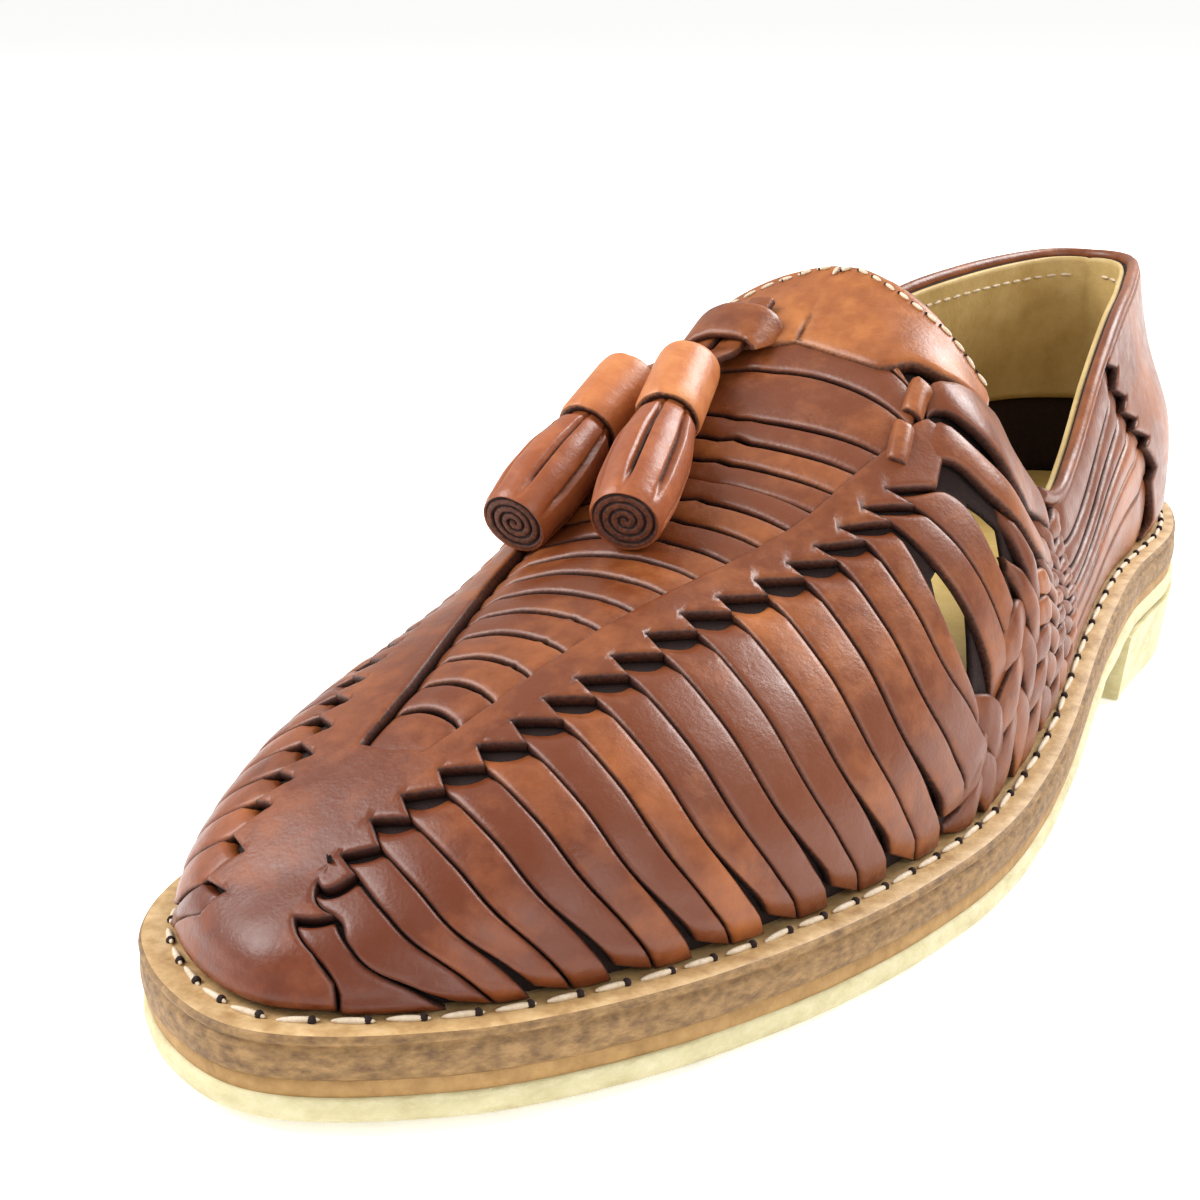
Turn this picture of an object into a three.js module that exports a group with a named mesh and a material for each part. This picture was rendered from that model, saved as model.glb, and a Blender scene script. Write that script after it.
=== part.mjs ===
// Woven leather huarache loafer, left shoe, standing empty on its sole.
// Millimetres. Toe towards -Y, heel towards +Y, lateral (outer) side +X, up +Z.
// Every lengthwise place is given as "back", the distance from the heel back.
import * as THREE from 'three';
import { mergeVertices } from 'three/addons/utils/BufferGeometryUtils.js';

// Driving dimensions
const LENGTH = 298;
const GAP = 0.3;
const CREPE = 3.6;
const SLIP_SOLE = 2.2;
const MIDSOLE = 6.4;
const INSOLE = 2.4;
const HEEL_LIFT = 14;
const TOE_SPRING = 2;
const TREAD_FRONT = 212;
const TREAD_BACK = 180;
const HEEL_BREAST = 76;
const WALL = 2.6;
const TAB = 1.6;
const LINING = 1.2;

// Mesh fineness
const ROUND = 48;
const RISE_STEPS = [0, 0.06, 0.13, 0.2, 0.27, 0.36, 0.45, 0.54, 0.62, 0.71, 0.8, 0.88, 0.95, 1];

// Two slots in each quarter, between the last straps of the forepart and the wide straps behind
const SLOT = { front: 178, back: 173, low: [0.06, 0.2], high: [0.27, 0.45] };

// Tassels: collar and body sizes along and across, and the places of their two ends
const TASSEL_COLLAR = { length: 16.5, outer: 5.5, inner: 4.3 };
const TASSELS = {
  front: { top: [-13.6, 167, 79.9], end: [-3, 206, 62.4] },
  rear: { top: [-25.5, 166, 76.4], end: [-25, 204, 58.4] },
};
const THONG = { width: 4.6, thick: 1.5 };
const KEEPER = { back: 155, middle: -12.6, half: 7.4, width: 8, thick: 1.5 };

// Outline of the sole seen from above: a row per place along the foot.
const OUTLINE = [
  // back, lateral, medial
  [9, 19.5, -20.5],
  [35, 32.5, -32.0],
  [72, 37.0, -30.0],
  [110, 43.5, -29.0],
  [150, 51.0, -35.0],
  [190, 53.0, -45.5],
  [225, 47.5, -50.5],
  [258, 35.5, -48.5],
  [284, 18.0, -35.5],
];
const TOE_TIP = { back: LENGTH, x: -6 };

// How far the upper's foot stands in from the edge of the sole.
const WELT = [
  // back, margin
  [0, 4.5],
  [70, 5.0],
  [130, 5.5],
  [200, 6.6],
  [298, 6.6],
];

// Top line of each wall, from the heel back round to the ridge of the toe.
// foot: where the wall's line leaves the sole; x, back, z: where it ends;
// lean: how steeply it arrives there, 0 over the instep, 90 upright;
// fall: how fast the instep drops forward at that end.
const TOP_LINE = [
  // foot, x, back, z, lean, fall
  [0, 0, 5, 79.5, 84, 0],
  [13, 11.5, 12, 79.5, 83, 0],
  [38, 20, 37, 78.3, 80, 0],
  [66, 25.8, 62, 74.8, 78, 0],
  [88, 29.5, 83, 66.0, 78, 0],
  [103, 32.5, 101, 55.5, 78, 0],
  [118, 35.2, 116.5, 51.5, 77, 0],
  [132, 35.5, 130, 56.0, 72, 0.05],
  [145, 32.5, 139, 66.0, 60, 0.2],
  [155, 28.0, 141, 76.0, 42, 0.4],
  [164, 19.0, 138, 85.5, 22, 0.5],
  [172, 9.5, 135, 90.3, 8, 0.55],
  [179, 0, 134, 91.5, 0, 0.55],
  [191, 0, 152, 81.5, 0, 0.58],
  [206, 0, 174, 68.5, 0, 0.56],
  [220, 0, 192, 59.5, 0, 0.4],
  [234, -0.5, 209, 54.0, 0, 0.27],
  [247, -1.5, 225, 50.0, 0, 0.27],
  [260, -3, 241, 45.6, 0, 0.34],
  [272, -4, 256, 40.0, 0, 0.44],
  [283, -5, 268, 34.2, 0, 0.52],
  [292, -5.5, 276, 29.6, 0, 0.6],
  [298, -5.5, 276, 29.6, 0, 0.6],
];
const CREST_START = 179;

const lerp = (a, b, f) => a + (b - a) * f;
const clamp01 = (v) => Math.min(1, Math.max(0, v));
const smooth = (v) => v * v * (3 - 2 * v);

// One column of a table, read smoothly at any key.
function column(rows, col, key = 0) {
  const k = rows.map((r) => r[key]);
  const v = rows.map((r) => r[col]);
  const last = k.length - 1;
  const slope = (i) => {
    const a = Math.max(0, i - 1);
    const b = Math.min(last, i + 1);
    return (v[b] - v[a]) / (k[b] - k[a]);
  };
  return (q) => {
    const x = Math.min(k[last], Math.max(k[0], q));
    let i = 0;
    while (i < last - 1 && x > k[i + 1]) i += 1;
    const w = k[i + 1] - k[i];
    const f = (x - k[i]) / w;
    const f2 = f * f;
    const f3 = f2 * f;
    return (2 * f3 - 3 * f2 + 1) * v[i] + (f3 - 2 * f2 + f) * w * slope(i)
      + (3 * f2 - 2 * f3) * v[i + 1] + (f3 - f2) * w * slope(i + 1);
  };
}

// The sole's edge as one closed curve, walked from the heel back to the toe on each side.
const lateralPoints = OUTLINE.map(([back, x]) => new THREE.Vector3(x, back, 0));
const medialPoints = OUTLINE.map(([back, , x]) => new THREE.Vector3(x, back, 0)).reverse();
const edgePoints = [new THREE.Vector3(0, 0, 0), ...lateralPoints,
  new THREE.Vector3(TOE_TIP.x, TOE_TIP.back, 0), ...medialPoints];
const edgeCurve = new THREE.CatmullRomCurve3(edgePoints, true, 'centripetal');
const edgeWalk = edgeCurve.getPoints(2400);
const tipAt = edgeWalk.reduce((best, p, i) => (p.y > edgeWalk[best].y ? i : best), 0);
const walks = {
  1: edgeWalk.slice(0, tipAt + 1),
  '-1': edgeWalk.slice(tipAt).reverse(),
};

function arcTable(points) {
  const lengths = [0];
  for (let i = 1; i < points.length; i += 1) {
    lengths.push(lengths[i - 1] + points[i].distanceTo(points[i - 1]));
  }
  return lengths.map((v) => v / lengths[lengths.length - 1]);
}
const arcs = { 1: arcTable(walks[1]), '-1': arcTable(walks[-1]) };

// Place and outward direction on the edge; u is 0 at the heel back and 1 at the toe tip.
function edge(side, u) {
  const points = walks[side];
  const arc = arcs[side];
  let i = 1;
  while (i < arc.length - 1 && arc[i] < u) i += 1;
  const f = clamp01((u - arc[i - 1]) / (arc[i] - arc[i - 1]));
  const a = points[Math.max(0, i - 4)];
  const b = points[Math.min(points.length - 1, i + 3)];
  const out = new THREE.Vector2(b.y - a.y, a.x - b.x).multiplyScalar(side).normalize();
  if (u <= 0) out.set(0, -1);
  if (u >= 1) out.set(0, 1);
  return { x: lerp(points[i - 1].x, points[i].x, f), back: lerp(points[i - 1].y, points[i].y, f), out };
}

// The u at which the edge passes a distance from the heel back.
function edgeAt(side, back) {
  const points = walks[side];
  const i = points.findIndex((p) => p.y >= back - 1e-9);
  return i < 0 ? 1 : arcs[side][i];
}

// Heights of the sole along the foot
const lift = (back) => HEEL_LIFT * smooth(clamp01((TREAD_BACK - back) / (TREAD_BACK - HEEL_BREAST)));
const spring = (back) => TOE_SPRING * clamp01((back - TREAD_FRONT) / (LENGTH - TREAD_FRONT)) ** 2;
const crepeBottom = (back) => lift(back) + spring(back);
const slipBottom = (back) => crepeBottom(back) + CREPE + GAP;
const midsoleBottom = (back) => slipBottom(back) + SLIP_SOLE + GAP;
const midsoleTop = (back) => midsoleBottom(back) + MIDSOLE;

const welt = column(WELT, 1);
const toY = (back) => LENGTH / 2 - back;

function inset(side, u, margin) {
  const e = edge(side, u);
  return { x: e.x - e.out.x * margin, back: e.back - e.out.y * margin, out: e.out };
}

// Top-line columns against the walk along the lateral edge, mirrored past the heel so the back is round.
// Both sides share them, so the two walls meet along the ridge of the instep.
const topRows = TOP_LINE.map((r) => [edgeAt(1, r[0]), ...r.slice(1)]);
const mirrored = topRows.slice(1, 4).map((r) => [-r[0], -r[1], ...r.slice(2)]).reverse();
const topLine = [1, 2, 3, 4, 5].map((c) => column([...mirrored, ...topRows], c));
const medialWalk = column(TOP_LINE.map((r) => [edgeAt(1, r[0]), edgeAt(-1, r[0])]), 1);
const walkAt = (back) => edgeAt(1, back);
const CREST_WALK = walkAt(CREST_START);

// The last: a point on the upper's outside, from the feather edge (h 0) to its top line (h 1).
const FOOT_FULLNESS = 0.64;
const TOP_FULLNESS = 0.6;
const FLARE = THREE.MathUtils.degToRad(7);
function last(side, walk, h) {
  const u = side > 0 ? walk : medialWalk(walk);
  const foot = inset(side, u, welt(edge(side, u).back));
  const [ex, eb, ez, lean, fall] = topLine.map((f) => f(walk));
  const crest = walk >= CREST_WALK - 1e-9;
  const top = { x: crest ? ex : ex * side, back: eb, z: ez };
  const base = midsoleTop(foot.back) + GAP;
  const rise = top.z - base;
  const reach = Math.hypot(foot.x - top.x, foot.back - top.back) || 1e-6;
  const dx = (foot.x - top.x) / reach;
  const db = (foot.back - top.back) / reach;
  const b = THREE.MathUtils.degToRad(lean);
  const up = FOOT_FULLNESS * rise;
  const over = TOP_FULLNESS * (reach * Math.cos(b) + rise * Math.sin(b));
  const p0 = [foot.x, foot.back, base];
  const p1 = [foot.x + foot.out.x * up * Math.sin(FLARE), foot.back + foot.out.y * up * Math.sin(FLARE),
    base + up * Math.cos(FLARE)];
  const p2 = [top.x + over * dx * Math.cos(b), top.back + over * db * Math.cos(b),
    top.z - over * (fall * db * Math.cos(b) + Math.sin(b))];
  const p3 = [top.x, top.back, top.z];
  const k = 1 - h;
  const mix = (i) => k ** 3 * p0[i] + 3 * k * k * h * p1[i] + 3 * k * h * h * p2[i] + h ** 3 * p3[i];
  return new THREE.Vector3(mix(0), toY(mix(1)), mix(2));
}

// Closed body from a list of triangles of Vector3, faces out.
function body(name, colour, roughness, triangles) {
  const flat = [];
  for (const [a, b, c] of triangles) {
    const area = new THREE.Vector3().subVectors(b, a).cross(new THREE.Vector3().subVectors(c, a)).length();
    if (area > 1e-7) flat.push(...a.toArray(), ...b.toArray(), ...c.toArray());
  }
  const raw = new THREE.BufferGeometry();
  raw.setAttribute('position', new THREE.Float32BufferAttribute(flat, 3));
  const geometry = mergeVertices(raw, 1e-4);
  geometry.computeVertexNormals();
  const material = new THREE.MeshStandardMaterial({ color: colour, roughness, metalness: 0 });
  const mesh = new THREE.Mesh(geometry, material);
  mesh.name = name;
  return mesh;
}

const quad = (a, b, c, d) => [[a, b, c], [a, c, d]];

// A slab of the sole between two heights, from the heel back or only part of the way.
function slab(name, colour, roughness, low, high, options = {}) {
  const { from = 0, to = 1, marginLow = 0, marginHigh = 0, steps = ROUND } = options;
  const ring = (heights, margin) => {
    const rows = [];
    for (let i = 0; i <= steps; i += 1) {
      const u = lerp(from, to, i / steps);
      rows.push([1, -1].map((side) => {
        const m = typeof margin === 'function' ? margin(edge(side, u).back) : margin;
        const p = inset(side, u, m);
        return new THREE.Vector3(p.x, toY(p.back), heights(p.back));
      }));
    }
    return rows;
  };
  const bottom = ring(low, marginLow);
  const top = ring(high, marginHigh);
  const triangles = [];
  for (let i = 0; i < steps; i += 1) {
    triangles.push(...quad(top[i][0], top[i][1], top[i + 1][1], top[i + 1][0]));
    triangles.push(...quad(bottom[i][0], bottom[i + 1][0], bottom[i + 1][1], bottom[i][1]));
    triangles.push(...quad(bottom[i][0], top[i][0], top[i + 1][0], bottom[i + 1][0]));
    triangles.push(...quad(bottom[i][1], bottom[i + 1][1], top[i + 1][1], top[i][1]));
  }
  triangles.push(...quad(bottom[0][0], bottom[0][1], top[0][1], top[0][0]));
  triangles.push(...quad(bottom[steps][0], top[steps][0], top[steps][1], bottom[steps][1]));
  return body(name, colour, roughness, triangles);
}

// A wall on the last: both sides' grids of (walk, h), joined where their points meet,
// given thickness along the surface's own normals. open(side, i, j) leaves cells out.
function shell(name, colour, roughness, grids, outer, inner, open = () => false) {
  const points = [];
  const normals = [];
  const lookup = new Map();
  const index = (p) => {
    const key = p.toArray().map((v) => Math.round(v * 1e3)).join();
    if (!lookup.has(key)) {
      lookup.set(key, points.length);
      points.push(p);
      normals.push(new THREE.Vector3());
    }
    return lookup.get(key);
  };
  const faces = [];
  for (const { side, at, columns, rows } of grids) {
    const id = [];
    for (let i = 0; i <= columns; i += 1) {
      id.push([]);
      for (let j = 0; j <= rows; j += 1) {
        const [walk, h] = at(i / columns, j / rows);
        id[i].push(index(last(side, walk, h)));
      }
    }
    for (let i = 0; i < columns; i += 1) {
      for (let j = 0; j < rows; j += 1) {
        const loop = [id[i][j], id[i][j + 1], id[i + 1][j + 1], id[i + 1][j]];
        if (side < 0) loop.reverse();
        const corners = loop.filter((v, n) => v !== loop[(n + 1) % 4]);
        if (corners.length < 3) continue;
        const n = new THREE.Vector3();
        for (let c = 0; c < corners.length; c += 1) {
          n.add(new THREE.Vector3().crossVectors(points[corners[c]], points[corners[(c + 1) % corners.length]]));
        }
        for (const c of corners) normals[c].add(n);
        if (!open(side, i, j)) faces.push(corners);
      }
    }
  }
  for (const n of normals) n.normalize();
  const out = points.map((p, i) => p.clone().addScaledVector(normals[i], outer));
  const into = points.map((p, i) => p.clone().addScaledVector(normals[i], inner));
  const edges = new Set();
  const triangles = [];
  for (const f of faces) {
    for (let c = 1; c < f.length - 1; c += 1) {
      triangles.push([out[f[0]], out[f[c]], out[f[c + 1]]]);
      triangles.push([into[f[0]], into[f[c + 1]], into[f[c]]]);
    }
    f.forEach((v, c) => edges.add(`${v},${f[(c + 1) % f.length]}`));
  }
  for (const e of edges) {
    const [a, b] = e.split(',').map(Number);
    if (!edges.has(`${b},${a}`)) triangles.push(...quad(out[b], out[a], into[a], into[b]));
  }
  return body(name, colour, roughness, triangles);
}

const CREPE_TONE = '#cdc596';
const TAN_TONE = '#c6a06b';
const LINING_TONE = '#d9bd80';
const LEATHER_TONE = '#9a5a3c';

const group = new THREE.Group();
group.name = 'woven_huarache_loafer_left';

// Sole, from the floor up
const breastAt = walkAt(HEEL_BREAST);
group.add(slab('crepe_heel', CREPE_TONE, 0.85, () => 0, (back) => crepeBottom(back) - GAP,
  { to: breastAt, marginLow: 2, steps: 20 }));
group.add(slab('crepe_outsole', CREPE_TONE, 0.85, crepeBottom, (back) => crepeBottom(back) + CREPE));
group.add(slab('slip_sole', TAN_TONE, 0.75, slipBottom, (back) => slipBottom(back) + SLIP_SOLE,
  { marginLow: 0.5, marginHigh: 0.5 }));
group.add(slab('leather_midsole', TAN_TONE, 0.7, midsoleBottom, midsoleTop));
const insoleMargin = (back) => welt(back) + WALL + 1.8;
group.add(slab('insole', LINING_TONE, 0.65, (back) => midsoleTop(back) + GAP,
  (back) => midsoleTop(back) + GAP + INSOLE, { marginLow: insoleMargin, marginHigh: insoleMargin }));

// Upper: one woven wall, open at the collar and below, with two slots in each quarter
function upperGrid(side) {
  const slot = [SLOT.back, SLOT.front].map(walkAt);
  const fixed = [...slot, CREST_WALK];
  const clear = 0.4 / ROUND;
  const even = Array.from({ length: ROUND + 1 }, (_, i) => i / ROUND)
    .filter((u) => fixed.every((v) => Math.abs(u - v) > clear) && (u <= slot[0] || u >= slot[1]));
  const stops = [...even, ...fixed].sort((a, b) => a - b);
  const at = (a, b) => [stops[Math.round(a * (stops.length - 1))], RISE_STEPS[Math.round(b * (RISE_STEPS.length - 1))]];
  return { side, at, columns: stops.length - 1, rows: RISE_STEPS.length - 1, slotColumn: stops.indexOf(slot[0]) };
}
const upperGrids = [upperGrid(1), upperGrid(-1)];
const inSlot = (side, i, j) => {
  const grid = upperGrids.find((g) => g.side === side);
  const low = RISE_STEPS[j];
  return i === grid.slotColumn && [SLOT.low, SLOT.high].some(([a, b]) => low >= a && low < b);
};
const upper = shell('woven_upper', LEATHER_TONE, 0.45, upperGrids, 0, -WALL, inSlot);
group.add(upper);

// Throat tab: a smooth leather piece over the top of the instep, rounded along the throat
const TAB_SIDE = { foot: 151, drop: 0.3 };
const TAB_FRONT = 199;
function tabGrid(side) {
  const corner = walkAt(TAB_SIDE.foot);
  const reach = walkAt(TAB_FRONT) - CREST_WALK;
  const at = (a, b) => [lerp(corner, CREST_WALK, a) + (1 - b) * reach * (0.35 + 0.65 * a),
    1 - (1 - b) * TAB_SIDE.drop * Math.sqrt(1 - a * a)];
  return { side, at, columns: 12, rows: 6 };
}
group.add(shell('throat_tab', LEATHER_TONE, 0.4, [tabGrid(1), tabGrid(-1)], GAP + TAB, GAP));

// Heel lining inside the collar
function liningGrid(side) {
  const front = walkAt(100);
  return { side, at: (a, b) => [a * front, lerp(0.35, 1, b)], columns: 14, rows: 6 };
}
group.add(shell('heel_lining', LINING_TONE, 0.6, [liningGrid(1), liningGrid(-1)], -WALL - GAP, -WALL - GAP - LINING));

// Height of the leather's top surface at a place on the instep
const caster = new THREE.Raycaster();
const HIGH_ABOVE = 200;
function instep(x, back) {
  caster.set(new THREE.Vector3(x, toY(back), HIGH_ABOVE), new THREE.Vector3(0, 0, -1));
  return HIGH_ABOVE - caster.intersectObject(upper)[0].distance;
}

// A flat strip swept along a smooth line, with its width lying along a given direction
function strip(name, colour, points, across, width, thick, steps) {
  const curve = new THREE.CatmullRomCurve3(points, false, 'centripetal');
  const rings = [];
  for (let i = 0; i <= steps; i += 1) {
    const p = curve.getPoint(i / steps);
    const along = curve.getTangent(i / steps);
    const face = new THREE.Vector3().crossVectors(along, across).normalize();
    const wide = new THREE.Vector3().crossVectors(face, along).normalize();
    rings.push([[-1, -1], [1, -1], [1, 1], [-1, 1]].map(([a, b]) => p.clone()
      .addScaledVector(wide, (a * width) / 2).addScaledVector(face, (b * thick) / 2)));
  }
  const triangles = [...quad(...[...rings[0]].reverse()), ...quad(...rings[steps])];
  for (let i = 0; i < steps; i += 1) {
    for (let c = 0; c < 4; c += 1) {
      const d = (c + 1) % 4;
      triangles.push(...quad(rings[i][c], rings[i][d], rings[i + 1][d], rings[i + 1][c]));
    }
  }
  return body(name, colour, 0.4, triangles);
}

// Straps to the tassels, lying on the tab, and the keeper loop over them
const TAB_TOP = (GAP + TAB) * 1.18;
const above = (x, back, clear) => new THREE.Vector3(x, toY(back), instep(x, back) + TAB_TOP + clear);
const place = ([x, back, z]) => new THREE.Vector3(x, toY(back), z);
const strapClear = GAP + THONG.thick / 2 + 0.4;
const ALONG = new THREE.Vector3(0, 1, 0.57);
const ACROSS = new THREE.Vector3(1, 0, 0);
function thong(name, tassel, x, tilt) {
  const across = new THREE.Vector3(1, 0, tilt);
  const top = place(tassel.top);
  const run = place(tassel.end).sub(top).normalize();
  const points = [above(x, 148.5, strapClear), above(x, 154, strapClear), above(x * 1.03, 159, strapClear + 0.1),
    top.clone().addScaledVector(run, 0.5), top.clone().addScaledVector(run, 3.2)];
  return strip(name, LEATHER_TONE, points, across, THONG.width, THONG.thick, 14);
}
group.add(thong('tassel_strap_front', TASSELS.front, -9.8, 0.16));
group.add(thong('tassel_strap_rear', TASSELS.rear, -15.4, 0.36));

const keeperHigh = strapClear + THONG.thick / 2 + GAP + KEEPER.thick / 2 + 0.25;
const keeperX = [-1, -0.97, -0.8, -0.4, 0, 0.4, 0.8, 0.97, 1];
const keeperZ = [0, 0.45, 0.95, 1, 1, 1, 0.95, 0.45, 0];
const keeperPoints = keeperX.map((f, i) => above(KEEPER.middle + f * KEEPER.half, KEEPER.back,
  lerp(GAP + KEEPER.thick / 2 + 1.5, keeperHigh + 0.4, keeperZ[i])));
group.add(strip('keeper_loop', LEATHER_TONE, keeperPoints, ALONG, KEEPER.width, KEEPER.thick, 24));

// A body turned about the line between two points; the profile is [distance along, radius]
function turned(name, colour, roughness, from, to, profile, closedLoop = false, segments = 20) {
  const axis = new THREE.Vector3().subVectors(to, from).normalize();
  const a = new THREE.Vector3().crossVectors(axis, ACROSS).normalize();
  const b = new THREE.Vector3().crossVectors(axis, a);
  const at = ([s, r], k) => {
    const angle = (2 * Math.PI * k) / segments;
    return from.clone().addScaledVector(axis, s).addScaledVector(a, r * Math.cos(angle))
      .addScaledVector(b, r * Math.sin(angle));
  };
  const triangles = [];
  const spans = closedLoop ? profile.length : profile.length - 1;
  for (let i = 0; i < spans; i += 1) {
    const p = profile[i];
    const q = profile[(i + 1) % profile.length];
    for (let k = 0; k < segments; k += 1) {
      triangles.push(...quad(at(p, k), at(p, (k + 1) % segments), at(q, (k + 1) % segments), at(q, k)));
    }
  }
  return body(name, colour, roughness, triangles);
}

for (const [which, tassel] of Object.entries(TASSELS)) {
  const from = place(tassel.top);
  const to = place(tassel.end);
  const long = from.distanceTo(to);
  const { length, outer, inner } = TASSEL_COLLAR;
  const ring = [[0, inner - 0.6], [0.6, outer - 0.7], [2, outer - 0.2], [length / 2, outer], [length, outer],
    [length, inner], [length / 2, inner], [1, inner]];
  group.add(turned(`tassel_collar_${which}`, LEATHER_TONE, 0.4, from, to, ring, true));
  const neck = inner - GAP;
  const barrel = [[5, 0], [5, neck], [length + GAP, neck], [length + 1, neck + 0.9], [length + 8, 6.0],
    [length + 15, 6.4], [long - 6, 6.3], [long - 1, 5.8], [long, 5.2], [long, 0]];
  group.add(turned(`tassel_body_${which}`, LEATHER_TONE, 0.45, from, to, barrel));
}

// Origin on the floor, under the middle of the whole box
const box = new THREE.Box3().setFromObject(group);
const middle = box.getCenter(new THREE.Vector3());
for (const mesh of group.children) mesh.geometry.translate(-middle.x, -middle.y, -box.min.z);

export default group;
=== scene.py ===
# %% [markdown]
# # A woven leather huarache loafer
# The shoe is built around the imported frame. The sole, the last's surface and the places of the tassels
# come from the frame; every strip of leather is then cut as a flat plate and laid on that surface.

# %% Load the frame
import math
import random
import bmesh
import bpy
import numpy as np
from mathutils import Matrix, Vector
from mathutils.geometry import delaunay_2d_cdt
from mathutils.kdtree import KDTree


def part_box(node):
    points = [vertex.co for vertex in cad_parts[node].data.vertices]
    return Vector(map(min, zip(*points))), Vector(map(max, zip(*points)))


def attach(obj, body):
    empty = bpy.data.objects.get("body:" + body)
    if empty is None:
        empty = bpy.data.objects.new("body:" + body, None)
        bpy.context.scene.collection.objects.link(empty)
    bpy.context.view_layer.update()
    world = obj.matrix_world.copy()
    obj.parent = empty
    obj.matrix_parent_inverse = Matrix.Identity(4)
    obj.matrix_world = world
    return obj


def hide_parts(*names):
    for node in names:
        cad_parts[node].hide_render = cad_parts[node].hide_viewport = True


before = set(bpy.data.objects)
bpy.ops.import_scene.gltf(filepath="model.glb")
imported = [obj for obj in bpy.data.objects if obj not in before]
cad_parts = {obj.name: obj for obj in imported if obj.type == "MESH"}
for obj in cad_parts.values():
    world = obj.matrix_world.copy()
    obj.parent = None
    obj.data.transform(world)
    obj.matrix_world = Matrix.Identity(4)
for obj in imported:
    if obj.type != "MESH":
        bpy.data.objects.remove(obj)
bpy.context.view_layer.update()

MM = 0.001
ROOT = "root"

# %% [markdown]
# ## The last's surface
# A shoe is made on a last, and all its leather follows the last's surface. The surface is described the
# way the frame's own part was drawn: the sole's outline, a top line for each wall, and a smooth profile
# between them. A place on it is (walk, c): walk goes from the heel back (0) to the toe tip (1) along the
# edge of the sole, and c goes from the ridge of the instep (0) down to the sole, to +1 on the lateral
# side and to -1 on the medial side.

# %% The driving tables of the last, in millimetres from the heel back
LENGTH = 298.0
CREPE, SLIP_SOLE, MIDSOLE, LAYER_GAP = 3.6, 2.2, 6.4, 0.3
HEEL_LIFT, TOE_SPRING = 14.0, 2.0
TREAD_FRONT, TREAD_BACK, HEEL_BREAST = 212.0, 180.0, 76.0

OUTLINE = [  # back, lateral, medial
    (9, 19.5, -20.5), (35, 32.5, -32.0), (72, 37.0, -30.0), (110, 43.5, -29.0), (150, 51.0, -35.0),
    (190, 53.0, -45.5), (225, 47.5, -50.5), (258, 35.5, -48.5), (284, 18.0, -35.5)]
TOE_TIP = (LENGTH, -6.0)
WELT = [(0, 4.5), (70, 5.0), (130, 5.5), (200, 6.6), (298, 6.6)]  # back, margin
TOP_LINE = [  # foot, x, back, z, lean, fall
    (0, 0, 5, 79.5, 84, 0), (13, 11.5, 12, 79.5, 83, 0), (38, 20, 37, 78.3, 80, 0),
    (66, 25.8, 62, 74.8, 78, 0),
    (88, 29.5, 83, 66.0, 78, 0), (103, 32.5, 101, 55.5, 78, 0), (118, 35.2, 116.5, 51.5, 77, 0),
    (132, 35.5, 130, 56.0, 72, 0.05), (145, 32.5, 139, 66.0, 60, 0.2), (155, 28.0, 141, 76.0, 42, 0.4),
    (164, 19.0, 138, 85.5, 22, 0.5), (172, 9.5, 135, 90.3, 8, 0.55), (179, 0, 134, 91.5, 0, 0.55),
    (191, 0, 152, 81.5, 0, 0.58), (206, 0, 174, 68.5, 0, 0.56), (220, 0, 192, 59.5, 0, 0.4),
    (234, -0.5, 209, 54.0, 0, 0.27), (247, -1.5, 225, 50.0, 0, 0.27), (260, -3, 241, 45.6, 0, 0.34),
    (272, -4, 256, 40.0, 0, 0.44), (283, -5, 268, 34.2, 0, 0.52), (292, -5.5, 276, 29.6, 0, 0.6),
    (298, -5.5, 276, 29.6, 0, 0.6)]
CREST_START = 179
FOOT_FULLNESS, TOP_FULLNESS, FLARE = 0.64, 0.60, math.radians(7)


def column(rows, col, key=0):
    """One column of a table, read smoothly at any key."""
    k = np.array([r[key] for r in rows], float)
    v = np.array([r[col] for r in rows], float)
    n = len(k) - 1
    slope = np.array([(v[min(n, i + 1)] - v[max(0, i - 1)]) / (k[min(n, i + 1)] - k[max(0, i - 1)])
                      for i in range(n + 1)])

    def read(q):
        x = np.clip(np.asarray(q, float), k[0], k[-1])
        i = np.clip(np.searchsorted(k, x, side="left") - 1, 0, n - 1)
        w = k[i + 1] - k[i]
        f = (x - k[i]) / w
        f2, f3 = f * f, f * f * f
        return ((2 * f3 - 3 * f2 + 1) * v[i] + (f3 - 2 * f2 + f) * w * slope[i]
                + (3 * f2 - 2 * f3) * v[i + 1] + (f3 - f2) * w * slope[i + 1])
    return read


def smooth(v):
    v = np.clip(v, 0, 1)
    return v * v * (3 - 2 * v)


# %% The edge of the sole as a closed curve, walked on each side from the heel back to the toe
def closed_curve(points, fine=2400):
    """Centripetal Catmull-Rom curve through points, closed."""
    p = np.array(points, float)
    n = len(p)
    out = []
    for q in np.arange(fine + 1) / fine * n:
        i = int(q)
        w = q - i
        a, b, c, d = (p[(i + s) % n] for s in (-1, 0, 1, 2))
        d0, d1, d2 = (np.sum((g - h) ** 2) ** 0.25 for g, h in ((a, b), (b, c), (c, d)))
        t1 = ((b - a) / d0 - (c - a) / (d0 + d1) + (c - b) / d1) * d1
        t2 = ((c - b) / d1 - (d - b) / (d1 + d2) + (d - c) / d2) * d1
        out.append(b + t1 * w + (3 * c - 3 * b - 2 * t1 - t2) * w * w + (2 * b - 2 * c + t1 + t2) * w ** 3)
    return np.array(out)


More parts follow.
